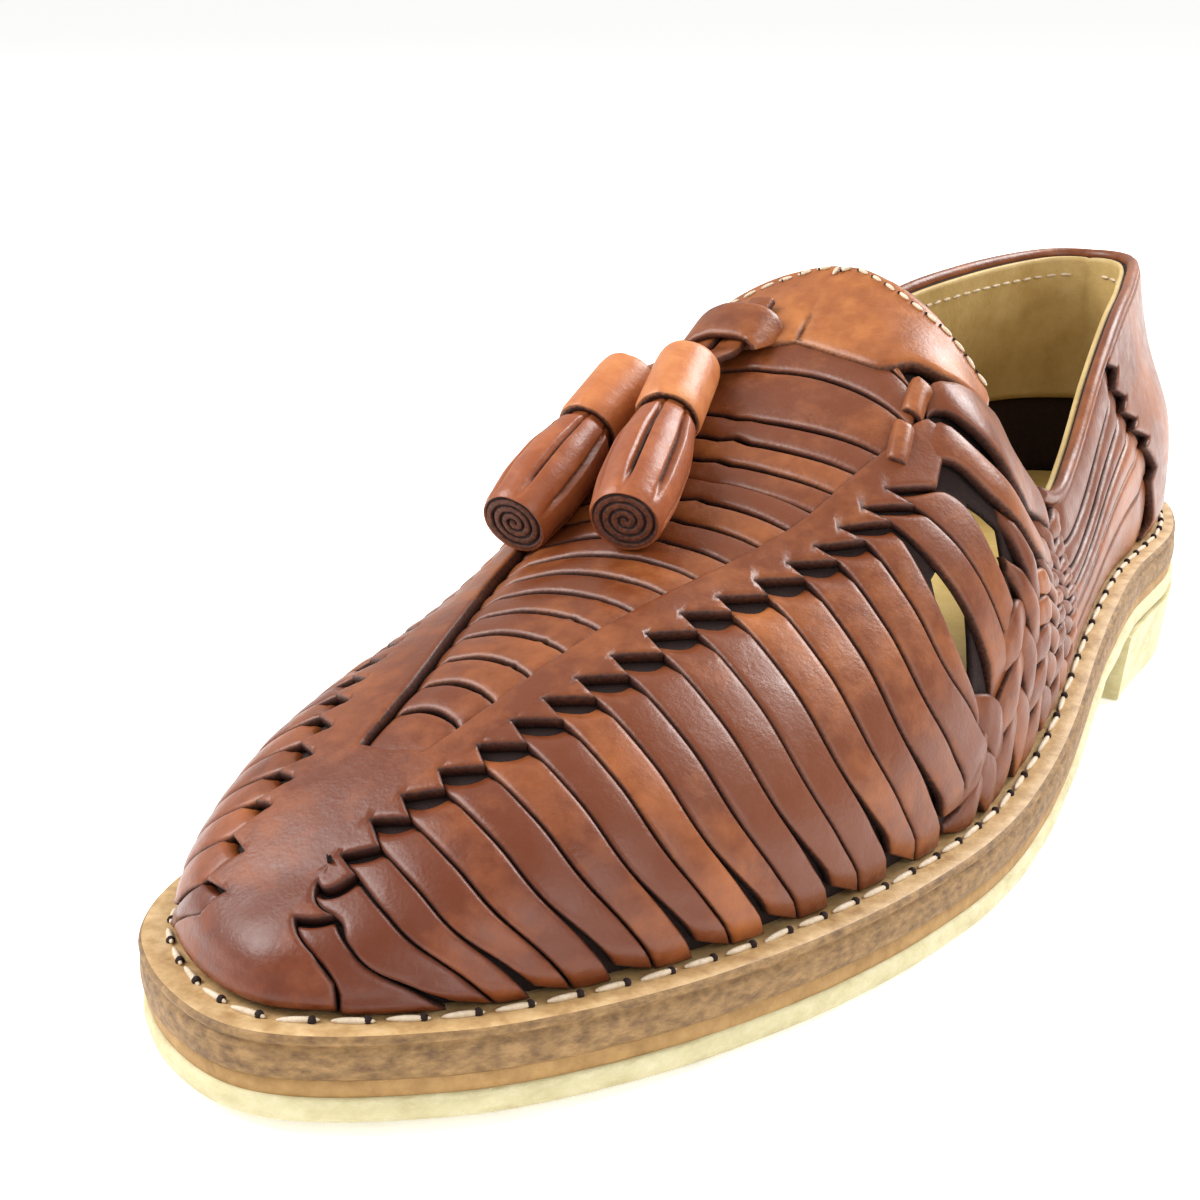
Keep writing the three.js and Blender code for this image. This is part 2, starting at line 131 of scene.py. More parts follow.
edge_points = ([(0, 0)] + [(x, b) for b, x, _ in OUTLINE] + [(TOE_TIP[1], TOE_TIP[0])]
               + [(x, b) for b, _, x in OUTLINE[::-1]])
edge_walk = closed_curve(edge_points)
tip_at = int(edge_walk[:, 1].argmax())
SIDE_WALK = {1: edge_walk[:tip_at + 1], -1: edge_walk[tip_at:][::-1]}
SIDE_ARC = {}
for side_key, path in SIDE_WALK.items():
    run = np.concatenate([[0], np.cumsum(np.linalg.norm(np.diff(path, axis=0), axis=1))])
    SIDE_ARC[side_key] = run / run[-1]
    print("edge of the sole, side", side_key, "is", round(float(run[-1]), 1), "mm long")

# the frame's origin is under the middle of the box, so the tables are shifted to match it
sole_lo, sole_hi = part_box("leather_midsole")
SHIFT_X = (sole_lo.x + sole_hi.x) / 2 / MM - (edge_walk[:, 0].max() + edge_walk[:, 0].min()) / 2
SHIFT_Y = (sole_lo.y + sole_hi.y) / 2 / MM
print("shift to the frame's origin, mm:", round(SHIFT_X, 3), round(SHIFT_Y, 3))


def edge(side, u):
    u = np.clip(np.asarray(u, float), 0, 1)
    p, a = SIDE_WALK[side], SIDE_ARC[side]
    x, b = np.interp(u, a, p[:, 0]), np.interp(u, a, p[:, 1])
    i = np.clip(np.searchsorted(a, u), 1, len(a) - 1)
    q, r = p[np.maximum(0, i - 4)], p[np.minimum(len(p) - 1, i + 3)]
    out = np.stack([r[..., 1] - q[..., 1], q[..., 0] - r[..., 0]], -1) * side
    out /= np.linalg.norm(out, axis=-1, keepdims=True)
    out = np.where((u <= 0)[..., None], [0.0, -1.0], out)
    out = np.where((u >= 1)[..., None], [0.0, 1.0], out)
    return x, b, out


def walk_at(back, side=1):
    p = SIDE_WALK[side]
    return 1.0 if p[-1, 1] < back else float(SIDE_ARC[side][np.argmax(p[:, 1] >= back - 1e-9)])


# %% Heights of the sole and the surface of the last
def heel_rise(b):
    return HEEL_LIFT * smooth((TREAD_BACK - b) / (TREAD_BACK - HEEL_BREAST))


def toe_rise(b):
    return TOE_SPRING * np.clip((b - TREAD_FRONT) / (LENGTH - TREAD_FRONT), 0, 1) ** 2


def crepe_bottom(b):
    return heel_rise(b) + toe_rise(b)


def midsole_top(b):
    return crepe_bottom(b) + CREPE + LAYER_GAP + SLIP_SOLE + LAYER_GAP + MIDSOLE


welt_margin = column(WELT, 1)
top_rows = [(walk_at(r[0]),) + r[1:] for r in TOP_LINE]
top_mirror = [(-r[0], -r[1]) + r[2:] for r in top_rows[1:4]][::-1]
TOP = [column(top_mirror + top_rows, c) for c in range(1, 6)]
medial_walk = column([(walk_at(r[0]), walk_at(r[0], -1)) for r in TOP_LINE], 1)
CREST = walk_at(CREST_START)


def last_side(side, walk, h):
    """Points in mm, in the frame's axes, for one side; h is 0 at the sole and 1 at the top line."""
    walk, h = np.broadcast_arrays(np.asarray(walk, float), np.asarray(h, float))
    u = walk if side > 0 else np.where(walk >= 1, 1.0, np.where(walk <= 0, 0.0, medial_walk(walk)))
    x, b, out = edge(side, u)
    m = welt_margin(b)
    fx, fb = x - out[..., 0] * m, b - out[..., 1] * m
    ex, eb, ez, lean, fall = (f(walk) for f in TOP)
    ex = np.where(walk >= CREST - 1e-9, ex, ex * side)
    base = midsole_top(fb) + LAYER_GAP
    rise = ez - base
    reach = np.maximum(np.hypot(fx - ex, fb - eb), 1e-6)
    dx, db = (fx - ex) / reach, (fb - eb) / reach
    ang = np.radians(lean)
    up = FOOT_FULLNESS * rise
    over = TOP_FULLNESS * (reach * np.cos(ang) + rise * np.sin(ang))
    p0 = np.stack([fx, fb, base], -1)
    p1 = np.stack([fx + out[..., 0] * up * math.sin(FLARE), fb + out[..., 1] * up * math.sin(FLARE),
                   base + up * math.cos(FLARE)], -1)
    p2 = np.stack([ex + over * dx * np.cos(ang), eb + over * db * np.cos(ang),
                   ez - over * (fall * db * np.cos(ang) + np.sin(ang))], -1)
    p3 = np.stack([ex, eb, ez], -1)
    k, g = (1 - h)[..., None], h[..., None]
    p = k ** 3 * p0 + 3 * k * k * g * p1 + 3 * k * g * g * p2 + g ** 3 * p3
    return np.stack([p[..., 0] + SHIFT_X, LENGTH / 2 - p[..., 1] + SHIFT_Y, p[..., 2]], -1)


def on_last(walk, c):
    """Point and outward normal at (walk, c), both in mm. c below -1 or above 1 runs out on to the welt."""
    walk, c = np.broadcast_arrays(np.asarray(walk, float), np.asarray(c, float))

    def place(w, cc):
        h = 1 - np.abs(cc)
        over = np.where(cc > 0, 1, -1)
        a, b = last_side(1, w, h), last_side(-1, w, h)
        return np.where((over > 0)[..., None], a, b)
    step = 1e-3
    p = place(walk, c)
    # the difference is taken away from the ridge and the sole's edge, on one side only
    sign = np.where(c > 0, 1.0, -1.0)
    c0 = np.where(np.abs(c) < step, sign * step, c)
    c1 = np.where(np.abs(c0) > 1 - step, sign * (1 - step), c0)
    w1 = np.clip(walk, step, 1 - step)
    du = place(w1 + step, c1) - place(w1 - step, c1)
    dc = place(w1, c1 + step * 0.5) - place(w1, c1 - step * 0.5)
    n = np.cross(du, dc)
    n /= np.maximum(np.linalg.norm(n, axis=-1, keepdims=True), 1e-9)
    return p, n

# %% [markdown]
# ## The camera, the floor and the light
# A product picture of a shoe is taken from the front quarter with a long lens, on a white table with big
# soft lights. The camera's place is given round the shoe: a turn, a height and a distance, then a small
# step sideways to frame it.

# %% Camera
def camera_basis(turn, height, roll):
    a, e, r = math.radians(turn), math.radians(height), math.radians(roll)
    back = Vector((math.sin(a) * math.cos(e), -math.cos(a) * math.cos(e), math.sin(e)))
    right = Vector((math.cos(a), math.sin(a), 0))
    up = back.cross(right)
    return back, math.cos(r) * right + math.sin(r) * up, -math.sin(r) * right + math.cos(r) * up, right, up


CAMERA = {"turn": 32.26, "height": 16.78, "roll": -0.44, "distance": 391.4, "lens": 65.3, "side": -36.32,
          "rise": -4.75}
back_dir, cam_right, cam_up, flat_right, flat_up = camera_basis(CAMERA["turn"], CAMERA["height"],
                                                                CAMERA["roll"])
camera_data = bpy.data.cameras.new("front_quarter_camera")
camera_data.lens = CAMERA["lens"]
camera_data.sensor_width = 36
camera_data.clip_start, camera_data.clip_end = 0.01, 50
camera = bpy.data.objects.new("front_quarter_camera", camera_data)
bpy.context.collection.objects.link(camera)
spot = (Vector((SHIFT_X, SHIFT_Y, 40)) + back_dir * CAMERA["distance"] + flat_right * CAMERA["side"]
        + flat_up * CAMERA["rise"]) * MM
turn = camera.matrix_world.to_3x3()
turn.col[0], turn.col[1], turn.col[2] = cam_right, cam_up, back_dir
camera.matrix_world = turn.to_4x4()
camera.location = spot
bpy.context.scene.camera = camera
print("camera is", round(spot.length, 3), "m from the middle of the sole")

# %% Floor, world and soft lights
bpy.context.scene.view_settings.view_transform = "Standard"


def srgb(code, alpha=1.0):
    """A colour written as sRGB hex, turned to linear."""
    parts = [int(code[i:i + 2], 16) / 255 for i in (1, 3, 5)]
    return tuple(p / 12.92 if p <= 0.04045 else ((p + 0.055) / 1.055) ** 2.4 for p in parts) + (alpha,)


def new_material(name):
    made = bpy.data.materials.new(name)
    made.use_nodes = True
    made.node_tree.nodes.clear()
    return made, made.node_tree


def add(tree, kind, settings=None, values=None, links=None):
    """Adds a node; values sets its inputs, links joins sockets to them."""
    node = tree.nodes.new(kind)
    for key, value in (settings or {}).items():
        setattr(node, key, value)
    for key, value in (values or {}).items():
        node.inputs[key].default_value = value
    for key, socket in (links or {}).items():
        tree.links.new(socket, node.inputs[key])
    return node


floor_size = 14.0
floor_mesh = bpy.data.meshes.new("pale_table")
floor_mesh.from_pydata([(-floor_size, -floor_size, 0), (floor_size, -floor_size, 0),
                        (floor_size, floor_size, 0),
                        (-floor_size, floor_size, 0)], [], [(0, 1, 2, 3)])
floor = bpy.data.objects.new("pale_table", floor_mesh)
bpy.context.collection.objects.link(floor)
floor.location.z = -0.0002
table_paint, tree = new_material("matt_white_table")
noise = add(tree, "ShaderNodeTexNoise", values={"Scale": 3.0, "Detail": 2.0})
ramp = add(tree, "ShaderNodeValToRGB", links={"Fac": noise.outputs["Fac"]})
ramp.color_ramp.elements[0].color, ramp.color_ramp.elements[1].color = srgb("#F7F7F6"), srgb("#FBFBFA")
shader = add(tree, "ShaderNodeBsdfPrincipled", values={"Roughness": 0.9, "Specular IOR Level": 0.1,
                                                       "Emission Color": srgb("#FFFFFF"),
                                                       "Emission Strength": 0.38},
             links={"Base Color": ramp.outputs["Color"]})
add(tree, "ShaderNodeOutputMaterial", links={"Surface": shader.outputs["BSDF"]})
floor_mesh.materials.append(table_paint)

world = bpy.data.worlds.new("white_room")
bpy.context.scene.world = world
world.use_nodes = True
world.node_tree.nodes["Background"].inputs["Color"].default_value = srgb("#FFFFFF")
world.node_tree.nodes["Background"].inputs["Strength"].default_value = 0.62
SOFT_LIGHTS = [  # name, place in metres, size, power
    ("window_left", (-0.9, -0.55, 1.0), 0.9, 23.0),
    ("window_back", (0.35, 0.95, 0.9), 0.7, 20.0),
    ("fill_right", (1.1, -0.5, 0.6), 0.9, 7.0)]
for name, place, size, power in SOFT_LIGHTS:
    lamp = bpy.data.lights.new(name, "AREA")
    lamp.size, lamp.energy = size, power
    lamp_object = bpy.data.objects.new(name, lamp)
    bpy.context.collection.objects.link(lamp_object)
    lamp_object.location = place
    lamp_object.rotation_euler = (Vector((0, 0, 0.04)) - Vector(place)).to_track_quat("-Z", "Y").to_euler()
print("lights:", [light[0] for light in SOFT_LIGHTS])

# %% [markdown]
# ## The leathers, the crepe and the thread
# Vegetable-tanned cowhide strips are dyed and polished by hand, so they are uneven: darker towards the
# toe and where the polish gathers, with pale fibres at the cut edges. The midsole is undyed tan leather
# with an open, fibrous cut edge. The outsole is crepe rubber, a pale wrinkled natural latex. Each surface
# is a Principled shader with noise for its tone and bump for its grain.

# %% Dyed and polished cowhide
def dyed_leather(name, dark, middle, light, gloss=0.36, toe=True):
    """Dyed, polished cowhide; the piece's attributes give its cut edges together with painted shade in the
    tassels' slits, and its tone of dye (tone).
    """
    made, tree = new_material(name)
    where = add(tree, "ShaderNodeTexCoord").outputs["Object"]
    rim = add(tree, "ShaderNodeAttribute", {"attribute_name": "rim"}).outputs["Fac"]
    tone = add(tree, "ShaderNodeAttribute", {"attribute_name": "tone"}).outputs["Fac"]
    clouds = add(tree, "ShaderNodeTexNoise", values={"Scale": 42.0, "Detail": 4.0, "Roughness": 0.6},
                 links={"Vector": where})
    mottle = add(tree, "ShaderNodeTexNoise", values={"Scale": 260.0, "Detail": 5.0, "Roughness": 0.65},
                 links={"Vector": where})
    mixed = add(tree, "ShaderNodeMath", {"operation": "MULTIPLY_ADD"}, {1: 0.45},
                {0: mottle.outputs["Fac"], 2: clouds.outputs["Fac"]})
    toned = add(tree, "ShaderNodeMath", {"operation": "MULTIPLY_ADD"}, {1: 0.5},
                {0: tone, 2: mixed.outputs[0]})
    spread = add(tree, "ShaderNodeMapRange", values={"From Min": 0.66, "From Max": 1.34},
                 links={"Value": toned.outputs[0]})
    ramp = add(tree, "ShaderNodeValToRGB", links={"Fac": spread.outputs[0]})
    ramp.color_ramp.elements[0].color, ramp.color_ramp.elements[1].color = srgb(dark), srgb(light)
    ramp.color_ramp.elements.new(0.5).color = srgb(middle)
    colour = ramp.outputs["Color"]
    if toe:
        # more polish was rubbed in at the toe: redder and darker towards the front
        apart = add(tree, "ShaderNodeSeparateXYZ", links={"Vector": where})
        front = add(tree, "ShaderNodeMapRange", values={"From Min": -0.075, "From Max": -0.142,
                                                        "To Max": 0.5},
                    links={"Value": apart.outputs["Y"]})
        rubbed = add(tree, "ShaderNodeMix", {"data_type": "RGBA", "blend_type": "MULTIPLY"},
                     {"B": srgb("#C08068")}, {"Factor": front.outputs[0], "A": colour})
        colour = rubbed.outputs["Result"]
    # the cut edge is darker, with frayed fibres a fraction of a millimetre wide; the same number also paints
    # shade into the tassels' slits and the spiral at their ends
    fray = add(tree, "ShaderNodeTexNoise", values={"Scale": 1500.0, "Detail": 3.0}, links={"Vector": where})
    ragged = add(tree, "ShaderNodeMath", {"operation": "MULTIPLY_ADD"}, {1: 0.5},
                 {0: fray.outputs["Fac"], 2: rim})
    cut = add(tree, "ShaderNodeMapRange", values={"From Min": 0.8, "From Max": 1.35},
              links={"Value": ragged.outputs[0]})
    edged = add(tree, "ShaderNodeMix", {"data_type": "RGBA"}, {"B": srgb("#2C120B")},
                {"Factor": cut.outputs[0], "A": colour})
    # hide grain is about 0.5 mm across, with finer pores
    grain = add(tree, "ShaderNodeTexVoronoi", {"feature": "SMOOTH_F1"}, {"Scale": 1500.0}, {"Vector": where})
    pores = add(tree, "ShaderNodeTexNoise", values={"Scale": 2600.0, "Detail": 4.0}, links={"Vector": where})
    creases = add(tree, "ShaderNodeTexNoise", values={"Scale": 120.0, "Detail": 3.0}, links={"Vector": where})
    relief = add(tree, "ShaderNodeMath", {"operation": "ADD"}, {},
                 {0: grain.outputs["Distance"], 1: pores.outputs["Fac"]})
    bump1 = add(tree, "ShaderNodeBump", values={"Strength": 0.22, "Distance": 0.00018},
                links={"Height": relief.outputs[0]})
    bump2 = add(tree, "ShaderNodeBump", values={"Strength": 0.3, "Distance": 0.0012},
                links={"Height": creases.outputs["Fac"], "Normal": bump1.outputs["Normal"]})
    dull = add(tree, "ShaderNodeMapRange", values={"From Min": 0.3, "From Max": 0.7, "To Min": gloss - 0.05,
                                                   "To Max": gloss + 0.14},
               links={"Value": mottle.outputs["Fac"]})
    rough = add(tree, "ShaderNodeMath", {"operation": "MULTIPLY_ADD"}, {1: 0.4},
                {0: cut.outputs[0], 2: dull.outputs[0]})
    shader = add(tree, "ShaderNodeBsdfPrincipled", values={"IOR": 1.42, "Coat Weight": 0.1,
                                                           "Coat Roughness": 0.25},
                 links={"Base Color": edged.outputs["Result"], "Roughness": rough.outputs[0],
                        "Normal": bump2.outputs["Normal"]})
    add(tree, "ShaderNodeOutputMaterial", links={"Surface": shader.outputs["BSDF"]})
    return made


brown_leather = dyed_leather("dyed_cowhide", "#693315", "#965527", "#C27C3D")
tassel_leather = dyed_leather("tassel_cowhide", "#8A4826", "#B0683A", "#CE8852", toe=False)

# %% Plain materials: the flesh side in painted shade, raw leather, tan midsole, lining, crepe and thread
def simple_surface(name, colours, scale, rough, bump_scale, bump_height, stretch=(1, 1, 1), extra=None):
    """Noise between two or three tones, with its own bump; stretch draws the pattern out along an axis."""
    made, tree = new_material(name)
    where = add(tree, "ShaderNodeTexCoord").outputs["Object"]
    drawn = add(tree, "ShaderNodeMapping", values={"Scale": stretch},
                links={"Vector": where}).outputs["Vector"]
    tone = add(tree, "ShaderNodeTexNoise", values={"Scale": scale, "Detail": 6.0, "Roughness": 0.65},
               links={"Vector": drawn})
    spread = add(tree, "ShaderNodeMapRange", values={"From Min": 0.32, "From Max": 0.68},
                 links={"Value": tone.outputs["Fac"]})
    ramp = add(tree, "ShaderNodeValToRGB", links={"Fac": spread.outputs[0]})
    ramp.color_ramp.elements[0].color, ramp.color_ramp.elements[1].color = srgb(colours[0]), srgb(colours[-1])
    if len(colours) > 2:
        ramp.color_ramp.elements.new(0.5).color = srgb(colours[1])
    relief = add(tree, "ShaderNodeTexNoise", values={"Scale": bump_scale, "Detail": 5.0, "Roughness": 0.6},
                 links={"Vector": drawn})
    bump = add(tree, "ShaderNodeBump", values={"Strength": 0.6, "Distance": bump_height},
               links={"Height": relief.outputs["Fac"]})
    uneven = add(tree, "ShaderNodeMapRange", values={"From Min": 0.3, "From Max": 0.7,
                                                     "To Min": rough - 0.06, "To Max": rough + 0.08},
                 links={"Value": relief.outputs["Fac"]})
    shader = add(tree, "ShaderNodeBsdfPrincipled", values=extra or {},
                 links={"Base Color": ramp.outputs["Color"], "Roughness": uneven.outputs[0],
                        "Normal": bump.outputs["Normal"]})
    add(tree, "ShaderNodeOutputMaterial", links={"Surface": shader.outputs["BSDF"]})
    return made


# near-black flesh side: painted shade between the woven strips and in the awl holes
flesh_side_painted_shade = simple_surface("flesh_side_painted_shade", ["#180A06", "#2A120B"], 900, 0.9, 1800, 0.0004)
midsole_leather = simple_surface("veg_tan_midsole", ["#5E401F", "#806036", "#9C784A"], 380, 0.6, 1300,
                                 0.0003, (1, 1, 2.2))
welt_leather = simple_surface("welt_grain_side", ["#A07A4A", "#BC9866", "#CFAF80"], 260, 0.5, 1100, 0.0002)
slip_leather = simple_surface("veg_tan_slip_sole", ["#8C6836", "#AC8650"], 300, 0.65, 900, 0.0003)
insole_leather = simple_surface("natural_insole", ["#B8984E", "#C8AA62", "#D6BC78"], 60, 0.5, 1100, 0.0002)
lining_leather = simple_surface("natural_lining", ["#AE9056", "#C0A368", "#CFB47C"], 70, 0.55, 1200, 0.0002)
crepe_rubber = simple_surface("crepe_rubber", ["#B5A97C", "#C6BC92", "#D3CAA6"], 120, 0.55, 420, 0.0009,
                              (1, 1, 1.6),
                              {"Subsurface Weight": 0.15, "Subsurface Radius": (0.004, 0.003, 0.0015),
                               "Subsurface Scale": 1.0})
waxed_thread = simple_surface("waxed_thread", ["#C9B394", "#DFCFB8"], 900, 0.5, 2600, 0.0003)
CAD_FINISH = {"crepe_heel": crepe_rubber, "crepe_outsole": crepe_rubber, "slip_sole": slip_leather,
              "leather_midsole": midsole_leather, "insole": insole_leather, "heel_lining": lining_leather,
              "keeper_loop": brown_leather, "tassel_strap_front": brown_leather,
              "tassel_strap_rear": brown_leather,
              "tassel_collar_front": tassel_leather, "tassel_collar_rear": tassel_leather,
              "tassel_body_front": tassel_leather, "tassel_body_rear": tassel_leather,
              "throat_tab": brown_leather, "woven_upper": brown_leather}
for node_name, finish in CAD_FINISH.items():
    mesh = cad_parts[node_name].data
    mesh.materials.clear()
    mesh.materials.append(finish)
print("finishes on CAD nodes:", len(CAD_FINISH))

# %% Helpers for every piece
def shown(name, mesh, replaces=()):
    """Puts a finished mesh in the scene as a piece of the shoe."""
    mesh.polygons.foreach_set("use_smooth", [True] * len(mesh.polygons))
    made = bpy.data.objects.new(name, mesh)
    bpy.context.collection.objects.link(made)
    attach(made, ROOT)
    if replaces:
        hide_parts(*replaces)
    print(name, "has", len(mesh.polygons), "faces")
    return made


def new_mesh(name, points, faces, material, attributes=None):
    """A mesh from points in mm, with its material and numbers on its corners."""
    mesh = bpy.data.meshes.new(name)
    mesh.from_pydata(np.asarray(points, float) * MM, [], faces)
    for key, values in (attributes or {}).items():
        layer = mesh.attributes.new(key, "FLOAT", "POINT")
        layer.data.foreach_set("value", np.asarray(values, np.float32))
    mesh.materials.append(material)
    mesh.update()
    return mesh


def face_outwards(mesh):
    work = bmesh.new()
    work.from_mesh(mesh)
    bmesh.ops.recalc_face_normals(work, faces=work.faces)
    work.to_mesh(mesh)
    work.free()


def grid_faces(rows, cols):
    return [(i * cols + j, i * cols + j + 1, (i + 1) * cols + j + 1, (i + 1) * cols + j)
            for i in range(rows - 1) for j in range(cols - 1)]


def both_sides(spots, faces):
    """Adds the same places and faces on the medial side."""
    spots = np.asarray(spots, float).reshape(-1, 2)
    return np.vstack([spots, spots * [1, -1]]), faces + [tuple(len(spots) + v for v in f[::-1])
                                                         for f in faces]

# %% [markdown]
# ## Cutting and laying leather
# Every woven part is a flat strip of 2 mm leather that follows the last. So one helper lays any grid of
# places on the last: it merges them, finds the cut edges, rounds the leather down towards them, adds a
# lower side and closes the wall between. A number on each corner, the rim, tells the material where the
# cut edge is, and another, the tone, makes each strip a little different, as dyed strips are.

# %% Lay leather on the last
EDGE = 1e-6  # the top line, just on one side of the ridge
THICK = 1.7
RIM_WIDTH, RIM_DROP = 0.75, 0.42


def mm_width(a, b, count=9):
    """Length in mm of the way on the last between places a and b, each (walk, c)."""
    f = np.linspace(0, 1, count)[:, None]
    p, _ = on_last(*((1 - f) * np.array(a) + f * np.array(b)).T)
    return np.linalg.norm(np.diff(p, axis=0), axis=1).sum()


def merge_points(points, faces, size=2e-3):
    """Joins corners that fall together, and drops the faces that vanish with them."""
    keys = np.round(points / size).astype(np.int64)
    _, first, back = np.unique(keys, axis=0, return_index=True, return_inverse=True)
    back = back.ravel()
    kept = []
    for face in faces:
        ring = []
        for v in (int(back[i]) for i in face):
            if not ring or ring[-1] != v:
                ring.append(v)
        if len(ring) > 1 and ring[0] == ring[-1]:
            ring.pop()
        if len(ring) >= 3 and len(set(ring)) == len(ring):
            kept.append(tuple(ring))
    return first, kept


class Hide:
    """Collects pieces of leather that become one object."""

    def __init__(self):
        self.points, self.faces, self.rim, self.tone, self.count = [], [], [], [], 0

    def lay(self, spots, lifts, faces, thick=THICK, tone=0.0, drop=RIM_DROP, rim_width=RIM_WIDTH):
        """spots are places (walk, c), lifts their heights in mm, faces the corners of each face."""
        points, normals = on_last(spots[:, 0], spots[:, 1])
        first, faces = merge_points(points, faces)
        points, normals, lifts = points[first], normals[first], np.asarray(lifts, float)[first]
        used = sorted({v for face in faces for v in face})
        remap = {v: i for i, v in enumerate(used)}
        points, normals, lifts = points[used], normals[used], lifts[used]
        turned = []
        for face in faces:
            face = tuple(remap[v] for v in face)
            q = points[list(face)]
            out = np.cross(q[1] - q[0], q[2] - q[0]) + (np.cross(q[2] - q[0], q[3] - q[0]) if len(face) > 3
                                                        else 0)
            turned.append(np.dot(out, normals[face[0]]))
        flip = sum(1 if t > 0 else -1 for t in turned) < 0
        faces = [tuple(remap[v] for v in (face[::-1] if flip else face)) for face in faces]
        seen = {(a, b) for face in faces for a, b in zip(face, face[1:] + face[:1])}
        border = sorted(e for e in seen if (e[1], e[0]) not in seen)
        ends = np.array(border)
        near = np.concatenate([points[ends[:, 0]] * (1 - f) + points[ends[:, 1]] * f
                               for f in (0, 0.34, 0.67)])
        away = np.full(len(points), 1e9)
        for chunk in range(0, len(points), 600):
            away[chunk:chunk + 600] = np.linalg.norm(points[chunk:chunk + 600, None] - near[None],
                                                     axis=2).min(axis=1)
        rim = np.clip(1 - away / rim_width, 0, 1)
        top = points + normals * (lifts - drop * rim ** 2.2)[:, None]
        low = points + normals * (lifts - thick)[:, None]
        m, base = len(points), self.count
        everything = faces + [tuple(m + v for v in face[::-1]) for face in faces] + [(b, a, m + a, m + b)
                                                                                     for a, b in border]
        self.points.append(np.vstack([top, low]))
        self.rim.append(np.concatenate([rim, np.ones(m)]))
        self.tone.append(np.full(2 * m, tone))
        self.faces += [tuple(base + v for v in face) for face in everything]
        self.count += 2 * m

    def lay_strip(self, strip, **how):
        """Lays a strip made as a grid of places and their heights."""
        spots, heights = strip
        rows, cols = heights.shape
        self.lay(spots.reshape(-1, 2), heights.ravel(), grid_faces(rows, cols), **how)

    def finish(self, name, material, slot="brown_leather", replaces=()):
        mesh = new_mesh(name, np.vstack(self.points), self.faces, material,
                        {"rim": np.concatenate(self.rim), "tone": np.concatenate(self.tone)})
        return shown(name, mesh, replaces)


# %% A strip between two edge lines
def smooth_line(knots, count):
    """Points along a smooth open line through knots, evenly spaced."""
    k = np.array(knots, float)
    k = np.vstack([2 * k[0] - k[1], k, 2 * k[-1] - k[-2]])
    out = []
    for i in range(1, len(k) - 2):
        for f in np.linspace(0, 1, 24, endpoint=False):
            a, b, c, d = k[i - 1:i + 3]
            out.append(0.5 * (2 * b + (c - a) * f + (2 * a - 5 * b + 4 * c - d) * f * f
                              + (3 * b - a - 3 * c + d) * f ** 3))
    out = np.array(out + [k[-2]])
    run = np.concatenate([[0], np.cumsum(np.linalg.norm(np.diff(out * [300, 75], axis=0), axis=1))])
    at = np.linspace(0, run[-1], count)
    return np.stack([np.interp(at, run, out[:, 0]), np.interp(at, run, out[:, 1])], -1)


def ease(u, table):
    """Reads a table of (u, value) with smooth steps."""
    u = np.asarray(u, float)
    ks, vs = np.array(table, float).T
    i = np.clip(np.searchsorted(ks, u, side="right") - 1, 0, len(ks) - 2)
    f = np.clip((u - ks[i]) / (ks[i + 1] - ks[i]), 0, 1)
    f = f * f * (3 - 2 * f)
    return vs[i] * (1 - f) + vs[i + 1] * f


ACROSS_MM = [0.0, 0.18, 0.4, 0.7, 1.2]


def strip_grid(front, rear, lift, count=30, gap=0.3, bow_start=0.0, bow_end=0.0, crown=0.3):
    """Grid between two edges: gap in mm at each side, lift as (u, mm) rows, bows in parts of its length."""
    f, r = smooth_line(front, 120), smooth_line(rear, 120)
    length = mm_width(f[0], f[-1], 30)
    ends = [0, 0.25 / length, 0.6 / length, 1.1 / length, 1.8 / length]
    us = np.array(ends + list(np.linspace(ends[-1], 1 - ends[-1], count)[1:-1]) + [1 - e for e in ends[::-1]])
    even = np.linspace(0, 1, 120)
    at_f = np.stack([np.interp(us, even, f[:, k]) for k in (0, 1)], -1)
    at_r = np.stack([np.interp(us, even, r[:, k]) for k in (0, 1)], -1)
    over = np.linspace(0, 1, 4)[None, :, None]
    places = at_f[:, None] * (1 - over) + at_r[:, None] * over
    ways, _ = on_last(places[..., 0], places[..., 1])
    wides = np.maximum(np.linalg.norm(np.diff(ways, axis=1), axis=2).sum(axis=1), 0.05)
    grid, heights = [], []
    for u, wide in zip(us, wides):
        g = gap(u) if callable(gap) else gap
        inner = min(g / wide, 0.42)
        side = [inner + min(d / wide, (0.5 - inner) * 0.16 * n) for n, d in enumerate(ACROSS_MM)]
        vs = np.array(side + list(np.linspace(side[-1], 1 - side[-1], 5)[1:-1]) + [1 - s for s in side[::-1]])
        arc = 4 * vs * (1 - vs)
        w = u + bow_start * (1 - u) ** 6 * arc - bow_end * u ** 6 * arc
        p = np.stack([np.interp(w, even, f[:, k]) for k in (0, 1)], -1)
        q = np.stack([np.interp(w, even, r[:, k]) for k in (0, 1)], -1)
        grid.append(p * (1 - vs)[:, None] + q * vs[:, None])
        heights.append(float(ease(u, lift)) + crown * arc)
    return np.array(grid), np.array(heights)


# %% [markdown]
# ## The vamp
# The vamp is one hide cut at the toe into a smooth cap with two long bands. The bands run back beside
# the ridge of the instep, and the side strips are tucked under their saw-toothed outer edges, one slit
# for each strip. Short rungs cross between the bands. Where each line falls is given as places on the
# last, because that is how the pattern would be marked on it.

# %% The driving rows of the pattern
def pattern(rows):
    """Reads rows of (number, values) smoothly, and gives the values at every whole number between."""
    numbers = np.arange(rows[0][0], rows[-1][0] + 1)
    return np.stack([column(rows, k)(numbers) for k in range(1, len(rows[0]))], -1)


def pairs(values):
    return [tuple(float(v) for v in row) for row in values]


